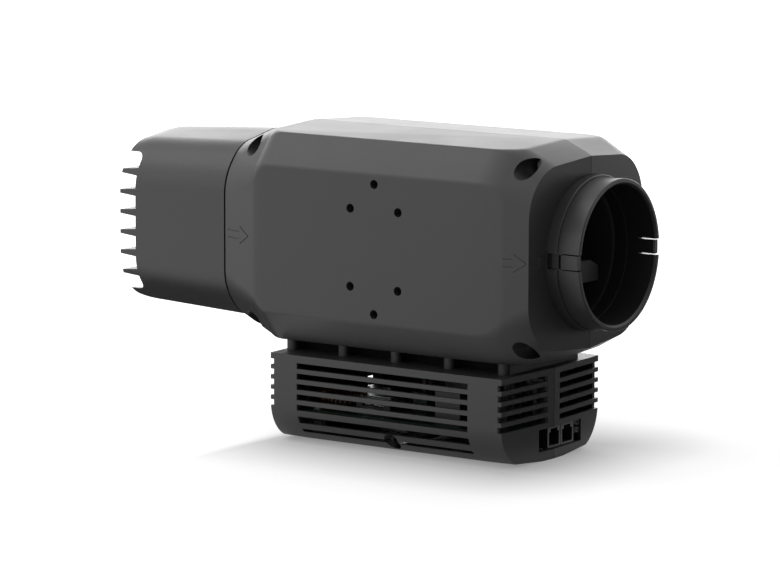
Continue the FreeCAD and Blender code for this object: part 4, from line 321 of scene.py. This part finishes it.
def plastic(name, tone, roughness, grain=0.35, relief=0.12, lift=1.35, specular=0.5):
    """Moulded plastic: tone is its colour, lift how much paler its flecks are."""
    made, nodes, links, shader = node_material(name)
    skin = skinned(nodes, links, shader, roughness, PLASTIC_SWING, relief, PLASTIC_GRAIN)
    skin.inputs["Grain Size"].default_value = grain
    dark, pale, flecks = [[min(1.0, c * share) for c in tone] for share in (CLOUD_DARK, CLOUD_PALE, lift)]
    clouds = mixed_colour(nodes, links, skin.outputs["Cloud"], dark, pale)
    speckled = mixed_colour(nodes, links, skin.outputs["Fleck"], clouds, flecks)
    links.new(speckled, shader.inputs["Base Color"])
    shader.inputs["Specular IOR Level"].default_value = specular
    return made


BODY_OF = {node: body for body, nodes in frame["record"]["behaviour"]["bodies"].items() for node in nodes}
WELD = 0.002 * MM
FLAT_ANGLE, SHARP_ANGLE, BROKEN_ANGLE = math.radians(0.25), math.radians(32), math.radians(40)


def finished(node, material, edge=0.0):
    """A merged copy of a node, smooth over its curves; edge is how far its corners are broken."""
    mesh = frame["nodes"][node].data.copy()
    mesh.name = f"{node}_skin"
    mesh.materials.clear()
    mesh.materials.append(material)
    work = bmesh.new()
    work.from_mesh(mesh)
    bmesh.ops.remove_doubles(work, verts=work.verts, dist=WELD)
    bmesh.ops.dissolve_limit(work, angle_limit=FLAT_ANGLE, verts=work.verts, edges=work.edges)
    for face in work.faces:
        face.smooth = True
        face.material_index = 0
    for line in work.edges:
        line.smooth = line.calc_face_angle(0.0) < SHARP_ANGLE
    work.to_mesh(mesh)
    work.free()
    piece = in_scene(f"{node}_skin", mesh)
    if edge:
        bevel = piece.modifiers.new("broken_edges", "BEVEL")
        bevel.width = edge * MM
        bevel.segments = 2
        bevel.limit_method = "ANGLE"
        bevel.angle_limit = BROKEN_ANGLE
        bevel.use_clamp_overlap = True
        bevel.harden_normals = True
    else:
        even = piece.modifiers.new("even_shading", "WEIGHTED_NORMAL")
        even.keep_sharp = True
    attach(piece, BODY_OF[node])
    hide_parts(node)
    return piece


def second_finish(piece, material, chosen):
    """Another material for the faces that chosen picks by their middle, in millimetres, and their normal."""
    piece.data.materials.append(material)
    for face in piece.data.polygons:
        if chosen(face.center / MM, face.normal):
            face.material_index = 1


housing_plastic = plastic("housing_plastic", (0.0322, 0.0325, 0.0332), 0.46)
finished("housing_near", housing_plastic, edge=0.3)
finished("housing_far", housing_plastic, edge=0.3)


# Inlet hood: a single moulding in the same plastic, slid over the inlet neck of the housing.
# Six blades, thicker towards the end of their slots, run right across its open front.
hood_plastic = plastic("hood_plastic", (0.0338, 0.0341, 0.0348), 0.44)
finished("inlet_hood", hood_plastic, edge=0.5)


# Outlet spigot: a smoother black ring with a bead behind its rim and a snap tab on each side.
# The two halves of the housing trap its flange. Its bore is painted darker and duller than its outside, as
# painted shade.
spigot_plastic = plastic("spigot_plastic", (0.028, 0.028, 0.03), 0.4, grain=0.5, relief=0.05)
# Near-black, duller plastic for the faces inside the bore: painted shade
bore_painted_shade = plastic("spigot_bore_painted_shade", (0.012, 0.012, 0.013), 0.5, grain=0.5, relief=0.05, specular=0.25)
BORE_RADIUS, DUCT_AXIS, RIM_FACING = 38.6, 112.0, 0.2
spigot = finished("outlet_collar", spigot_plastic, edge=0.25)
second_finish(spigot, bore_painted_shade, lambda middle, normal: (
    normal.x < RIM_FACING and math.hypot(middle.y, middle.z - DUCT_AXIS) < BORE_RADIUS))


# Standoff and control box: the neck and the louvred halves below it, black mouldings that four screws hold to
# the housing. The inside of the box and the recess of the neck get a much darker, duller plastic: painted
# shade.
FACING = 0.8
NECK_SIDE = 34.0
standoff_plastic = plastic("standoff_plastic", (0.026, 0.0263, 0.027), 0.5)
box_plastic = plastic("box_plastic", (0.0325, 0.0328, 0.0335), 0.48)
# Near-black, rough plastic that paints the shade inside the box and in the neck's recess
inner_painted_shade = plastic("box_inside_painted_shade", (0.012, 0.012, 0.0125), 0.75, relief=0.3, specular=0.12)
second_finish(finished("standoff", standoff_plastic), inner_painted_shade,
              lambda middle, normal: abs(normal.y) > FACING and abs(middle.y) < NECK_SIDE)
END_WALL_START, SIDE_WALL, FLOOR_SKIN, FLOOR_CURVE = 102.2, 47.5, 1.9, 6.0
INWARD = -10.0


def painted_shade_inside_box(middle, normal):
    """True for the faces that get the painted shade: the floor, the outlet end's inner face and the inner
    sides of the walls.
    """
    if middle.z <= FLOOR_SKIN:
        return False
    on_floor = normal.z > FACING and middle.z < FLOOR_CURVE
    behind_end = normal.x < -FACING and middle.x > END_WALL_START
    in_side = normal.y * middle.y < INWARD and abs(middle.y) < SIDE_WALL
    return on_floor or behind_end or in_side


for node in ("box_near", "box_far"):
    second_finish(finished(node, box_plastic, edge=0.4), inner_painted_shade, painted_shade_inside_box)


# Screws and inserts: zinc-plated steel screws with cross recesses, and brass inserts in the far half.
# Long screws close the housing, short ones hold the standoff and the board, and one closes the box.
TARNISH, METAL_CLOUD, METAL_SWING, METAL_GRAIN = 0.82, 6.0, 0.08, 0.05


def turned_metal(name, tone, roughness, grain=0.25, metallic=1.0, relief=0.15):
    """Bare metal with a fine grain and a slow tarnish."""
    made, nodes, links, shader = node_material(name)
    skin = skinned(nodes, links, shader, roughness, METAL_SWING, relief, METAL_GRAIN)
    skin.inputs["Grain Size"].default_value = grain
    skin.inputs["Cloud Size"].default_value = METAL_CLOUD
    tarnished = mixed_colour(nodes, links, skin.outputs["Cloud"], [c * TARNISH for c in tone], tone)
    links.new(tarnished, shader.inputs["Base Color"])
    shader.inputs["Metallic"].default_value = metallic
    return made


zinc = turned_metal("zinc_steel", (0.5, 0.5, 0.52), 0.35)
brass = turned_metal("turned_brass", (0.72, 0.52, 0.22), 0.32)
for node in ("housing_screws", "stand_screws", "box_screw", "board_screws"):
    finished(node, zinc)
finished("thread_inserts", brass)


# Inner duct and its foam rings: a heat-resistant tube from the hood to the spigot.
# Grey closed-cell foam seals it at both ends.
duct_plastic = plastic("duct_plastic", (0.022, 0.022, 0.024), 0.42, grain=0.6)
finished("air_duct", duct_plastic)
foam = plastic("cell_foam", (0.07, 0.07, 0.075), 0.9, grain=0.8, relief=0.6, lift=1.8, specular=0.2)
finished("outlet_seal", foam)
finished("inlet_seal", foam)


# Fan: a moulded frame with struts and a motor base, ball bearings, a copper winding and a bladed hub.
# A ferrite ring inside the hub turns it round the winding.
fan_plastic = plastic("fan_plastic", (0.03, 0.03, 0.033), 0.38, grain=0.5)
finished("fan_frame", fan_plastic)
finished("fan_impeller", fan_plastic)
finished("fan_bearings", zinc)
finished("fan_shaft", zinc)
copper = turned_metal("copper_wire", (0.62, 0.27, 0.12), 0.3, grain=0.6, relief=0.5)
finished("motor_winding", copper)
ferrite = plastic("ferrite", (0.06, 0.06, 0.065), 0.6, grain=0.3, relief=0.3)
finished("magnet_ring", ferrite)


# Heater: ceramic elements under foil between packs of thin fins, in a dark heat-proof frame.
# Two leads in dark red silicone run straight down to the board.
heater_plastic = plastic("heater_plastic", (0.09, 0.08, 0.07), 0.6, grain=0.5, relief=0.3, lift=1.8)
finished("heater_frame", heater_plastic)
ceramic = plastic("foiled_ceramic", (0.62, 0.6, 0.55), 0.5, grain=0.6, relief=0.25)
finished("heater_elements", ceramic)
fin_metal = turned_metal("fin_metal", (0.74, 0.75, 0.77), 0.34)
finished("heater_fins", fin_metal)
finished("heater_terminals", brass)
silicone = plastic("silicone_jacket", (0.03, 0.008, 0.007), 0.6, grain=0.4, relief=0.1)
finished("heater_leads", silicone)


# Cut-out and sensor: a dark phenolic cap clipped on the duct, and a resin bead on an arm across the outlet.
# The arm is moulded with a cut corner.
phenolic = plastic("phenolic", (0.06, 0.03, 0.018), 0.3, grain=0.5, relief=0.05)
finished("thermal_cutout", phenolic)
finished("air_sensor", phenolic)
finished("sensor_bracket", duct_plastic)


# Circuit board: dark green solder mask over copper tracks, on glass cloth.
# It hangs on its screws above the sockets. A black plate stands on it behind the slots of the inlet end, as
# painted shade.
def solder_mask():
    """Dark mask with the faint relief and tone of the tracks below it."""
    made, nodes, links, shader = node_material("solder_mask")
    place = nodes.new("ShaderNodeTexCoord")
    tracks = nodes.new("ShaderNodeTexBrick")
    tracks.inputs["Scale"].default_value = 60.0
    tracks.inputs["Mortar Size"].default_value = 0.07
    tracks.inputs["Color1"].default_value = (0.002, 0.007, 0.004, 1)
    tracks.inputs["Color2"].default_value = (0.002, 0.009, 0.005, 1)
    tracks.inputs["Mortar"].default_value = (0.005, 0.02, 0.011, 1)
    links.new(place.outputs["Object"], tracks.inputs["Vector"])
    links.new(tracks.outputs["Color"], shader.inputs["Base Color"])
    raised(nodes, links, shader, tracks.outputs["Fac"], 0.4, 0.05)
    shader.inputs["Roughness"].default_value = 0.36
    shader.inputs["Specular IOR Level"].default_value = 0.3
    return made


finished("circuit_board", solder_mask())
black_plastic = plastic("small_black", (0.012, 0.012, 0.0125), 0.45, grain=0.3, specular=0.35)
# The black plate is painted shade: a near-black sheet that keeps the view through the slots dark
finished("end_shield", black_plastic, edge=0.15)


# Transformer, relays and cans: a steel core round a taped coil, sealed black relays, and cans in dark sleeves
# with bare metal tops. All stand on the board.
iron = plastic("core_steel", (0.03, 0.03, 0.032), 0.5, grain=0.5, relief=0.4)
tape = plastic("coil_tape", (0.05, 0.036, 0.012), 0.4, grain=1.2, relief=0.2)
CORE_START, CORE_END = 33.49, 49.11
second_finish(finished("transformer", iron, edge=0.25), tape,
              lambda middle, normal: not CORE_START < middle.x < CORE_END)
relay_plastic = plastic("relay_black", (0.014, 0.014, 0.016), 0.3, grain=0.5, relief=0.05)
finished("relays", relay_plastic, edge=0.3)
can_sleeve = plastic("can_sleeve", (0.016, 0.017, 0.022), 0.3, grain=0.5, relief=0.04)
can_top = turned_metal("can_top", (0.6, 0.6, 0.62), 0.3)
CAN_TOP = 38.9
second_finish(finished("capacitors", can_sleeve, edge=0.4), can_top,
              lambda middle, normal: middle.z > CAN_TOP)


# Heat sink, fuse holder, terminal block and the button's switch: a black anodised section and small dark
# mouldings, each fixed to the board by its own legs.
anodised = turned_metal("black_anodised", (0.02, 0.02, 0.022), 0.4, metallic=0.3)
finished("heat_sink", anodised, edge=0.1)
finished("fuse_holder", black_plastic, edge=0.15)
block_plastic = plastic("terminal_moulding", (0.012, 0.03, 0.018), 0.45)
finished("terminal_block", block_plastic, edge=0.3)
finished("button_switch", black_plastic)


# Choke: a ferrite ring with one layer of enamelled copper wire wound all the way round it.
# It lies flat on the board at the inlet end.
WOUND_RADIUS, TURN_RADIUS, WIRE_RADIUS, TURNS = 9.0, 3.55, 0.62, 30
CORE_HALF, CORNER_START, CORE_STEPS = 2.5, 0.8, 64
CHOKE_MIDDLE = [(low + high) / 2 for low, high in zip(*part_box("choke"))]


def winding_tree():
    """Turns of wire stood round a circle, each in the plane of its own radius."""
    tree = bpy.data.node_groups.new("choke_winding", "GeometryNodeTree")
    tree.interface.new_socket("Geometry", in_out="OUTPUT", socket_type="NodeSocketGeometry")
    for name in ("Ring Radius", "Turn Radius", "Wire Radius"):
        tree.interface.new_socket(name, in_out="INPUT", socket_type="NodeSocketFloat")
    tree.interface.new_socket("Turns", in_out="INPUT", socket_type="NodeSocketInt")
    tree.interface.new_socket("Wire", in_out="INPUT", socket_type="NodeSocketMaterial")
    nodes, links = tree.nodes, tree.links
    entry, leave = nodes.new("NodeGroupInput"), nodes.new("NodeGroupOutput")
    ring = nodes.new("GeometryNodeMeshCircle")
    turn, wire = [nodes.new("GeometryNodeCurvePrimitiveCircle") for _ in range(2)]
    links.new(entry.outputs["Turns"], ring.inputs["Vertices"])
    links.new(entry.outputs["Ring Radius"], ring.inputs["Radius"])
    turn.inputs["Resolution"].default_value = 24
    links.new(entry.outputs["Turn Radius"], turn.inputs["Radius"])
    wire.inputs["Resolution"].default_value = 8
    links.new(entry.outputs["Wire Radius"], wire.inputs["Radius"])
    sweep = nodes.new("GeometryNodeCurveToMesh")
    links.new(turn.outputs["Curve"], sweep.inputs["Curve"])
    links.new(wire.outputs["Curve"], sweep.inputs["Profile Curve"])
    number = nodes.new("GeometryNodeInputIndex")
    around, each = [nodes.new("ShaderNodeMath") for _ in range(2)]
    each.operation = "DIVIDE"
    each.inputs[0].default_value = 2 * math.pi
    links.new(entry.outputs["Turns"], each.inputs[1])
    around.operation = "MULTIPLY"
    links.new(number.outputs["Index"], around.inputs[0])
    links.new(each.outputs[0], around.inputs[1])
    angles, rotation = nodes.new("ShaderNodeCombineXYZ"), nodes.new("FunctionNodeEulerToRotation")
    angles.inputs["X"].default_value = math.pi / 2
    links.new(around.outputs[0], angles.inputs["Z"])
    links.new(angles.outputs["Vector"], rotation.inputs["Euler"])
    stood, real = nodes.new("GeometryNodeInstanceOnPoints"), nodes.new("GeometryNodeRealizeInstances")
    dressed = nodes.new("GeometryNodeSetMaterial")
    links.new(ring.outputs["Mesh"], stood.inputs["Points"])
    links.new(sweep.outputs["Mesh"], stood.inputs["Instance"])
    links.new(rotation.outputs["Rotation"], stood.inputs["Rotation"])
    links.new(stood.outputs["Instances"], real.inputs["Geometry"])
    links.new(real.outputs["Geometry"], dressed.inputs["Geometry"])
    links.new(entry.outputs["Wire"], dressed.inputs["Material"])
    links.new(dressed.outputs["Geometry"], leave.inputs["Geometry"])
    return tree


def grown(name, tree, values, place):
    """A plain mesh piece from a tree, its inputs set by name, moved to a place in its mesh."""
    holder = in_scene(f"{name}_maker", bpy.data.meshes.new(f"{name}_maker"))
    maker = holder.modifiers.new("maker", "NODES")
    maker.node_group = tree
    for socket in tree.interface.items_tree:
        if socket.in_out == "INPUT":
            maker[socket.identifier] = values[socket.name]
    graph = bpy.context.evaluated_depsgraph_get()
    mesh = bpy.data.meshes.new_from_object(holder.evaluated_get(graph))
    bpy.data.objects.remove(holder)
    mesh.name = name
    mesh.transform(Matrix.Translation(place))
    mesh.shade_smooth()
    return in_scene(name, mesh)


enamel = turned_metal("wire_enamel", (0.09, 0.03, 0.014), 0.28, grain=0.6, metallic=0.7)
winding = grown("choke_turns", winding_tree(), {
    "Ring Radius": WOUND_RADIUS * MM, "Turn Radius": TURN_RADIUS * MM, "Wire Radius": WIRE_RADIUS * MM,
    "Turns": TURNS, "Wire": enamel}, CHOKE_MIDDLE)
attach(winding, BODY_OF["choke"])
core_mesh = bpy.data.meshes.new("choke_core")
work = bmesh.new()
section = []
for across, up in ((-1, -CORNER_START), (-CORNER_START, -1), (CORNER_START, -1), (1, -CORNER_START),
                   (1, CORNER_START), (CORNER_START, 1), (-CORNER_START, 1), (-1, CORNER_START)):
    section.append(work.verts.new(((WOUND_RADIUS + across * CORE_HALF) * MM, 0, up * CORE_HALF * MM)))
lines = [work.edges.new((start, end)) for start, end in zip(section, section[1:] + section[:1])]
bmesh.ops.spin(work, geom=section + lines, cent=(0, 0, 0), axis=(0, 0, 1), angle=2 * math.pi,
               steps=CORE_STEPS)
bmesh.ops.remove_doubles(work, verts=work.verts, dist=WELD)
bmesh.ops.recalc_face_normals(work, faces=work.faces)
for face in work.faces:
    face.smooth = True
for line in work.edges:
    line.smooth = line.calc_face_angle(0.0) < SHARP_ANGLE
work.to_mesh(core_mesh)
work.free()
core_mesh.transform(Matrix.Translation(CHOKE_MIDDLE))
core_mesh.materials.append(ferrite)
core = in_scene("choke_core", core_mesh)
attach(core, BODY_OF["choke"])
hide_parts("choke")


# Fuse: a clear glass tube with plated ends.
# It is pressed into the two blocks of its holder.
def clear_glass():
    """Clear glass with the smallest waviness of a drawn tube."""
    made, nodes, links, shader = node_material("fuse_glass")
    place, wave = nodes.new("ShaderNodeTexCoord"), nodes.new("ShaderNodeTexNoise")
    wave.inputs["Scale"].default_value = 300.0
    links.new(place.outputs["Object"], wave.inputs["Vector"])
    raised(nodes, links, shader, wave.outputs["Fac"], 0.05, 0.05)
    shader.inputs["Base Color"].default_value = (0.9, 0.93, 0.93, 1)
    shader.inputs["Roughness"].default_value = 0.05
    shader.inputs["Transmission Weight"].default_value = 0.9
    return made


END_FACING = 0.9
second_finish(finished("glass_fuse", clear_glass()), zinc, lambda middle, normal: abs(normal.x) > END_FACING)


# Ports: two six-way network sockets with gilt contacts, a status light and a small button under it.
# They hang under the board behind the window in the end of the box. Light and button have a paler rim.
socket_plastic = plastic("socket_grey", (0.15, 0.15, 0.155), 0.42, grain=0.3)
socket_painted_shade = plastic("socket_painted_shade", (0.008, 0.008, 0.008), 0.7, grain=0.3, specular=0.1)
# All but each socket's front face get a near-black plastic: painted shade inside its opening
for node in ("socket_one", "socket_two"):
    second_finish(finished(node, socket_plastic), socket_painted_shade, lambda middle, normal: normal.x < END_FACING)
gilt = turned_metal("gilt_wire", (0.8, 0.56, 0.22), 0.22)
finished("socket_contacts", gilt)

RIM_WIDTH = 0.4
port_rim = plastic("port_rim", (0.2, 0.2, 0.2), 0.4, grain=0.3)


def framed_end(node, middle_material):
    """A small square piece whose outer end keeps a pale rim round a darker middle."""
    piece = finished(node, port_rim)
    piece.data.materials.append(middle_material)
    work = bmesh.new()
    work.from_mesh(piece.data)
    end = max(work.faces, key=lambda face: face.normal.x + face.calc_center_median().x)
    bmesh.ops.inset_individual(work, faces=[end], thickness=RIM_WIDTH * MM, depth=0)
    end.material_index = 1
    work.to_mesh(piece.data)
    work.free()


framed_end("status_light", plastic("dark_lens", (0.02, 0.024, 0.02), 0.2, grain=0.5, relief=0.03))
framed_end("service_button", black_plastic)
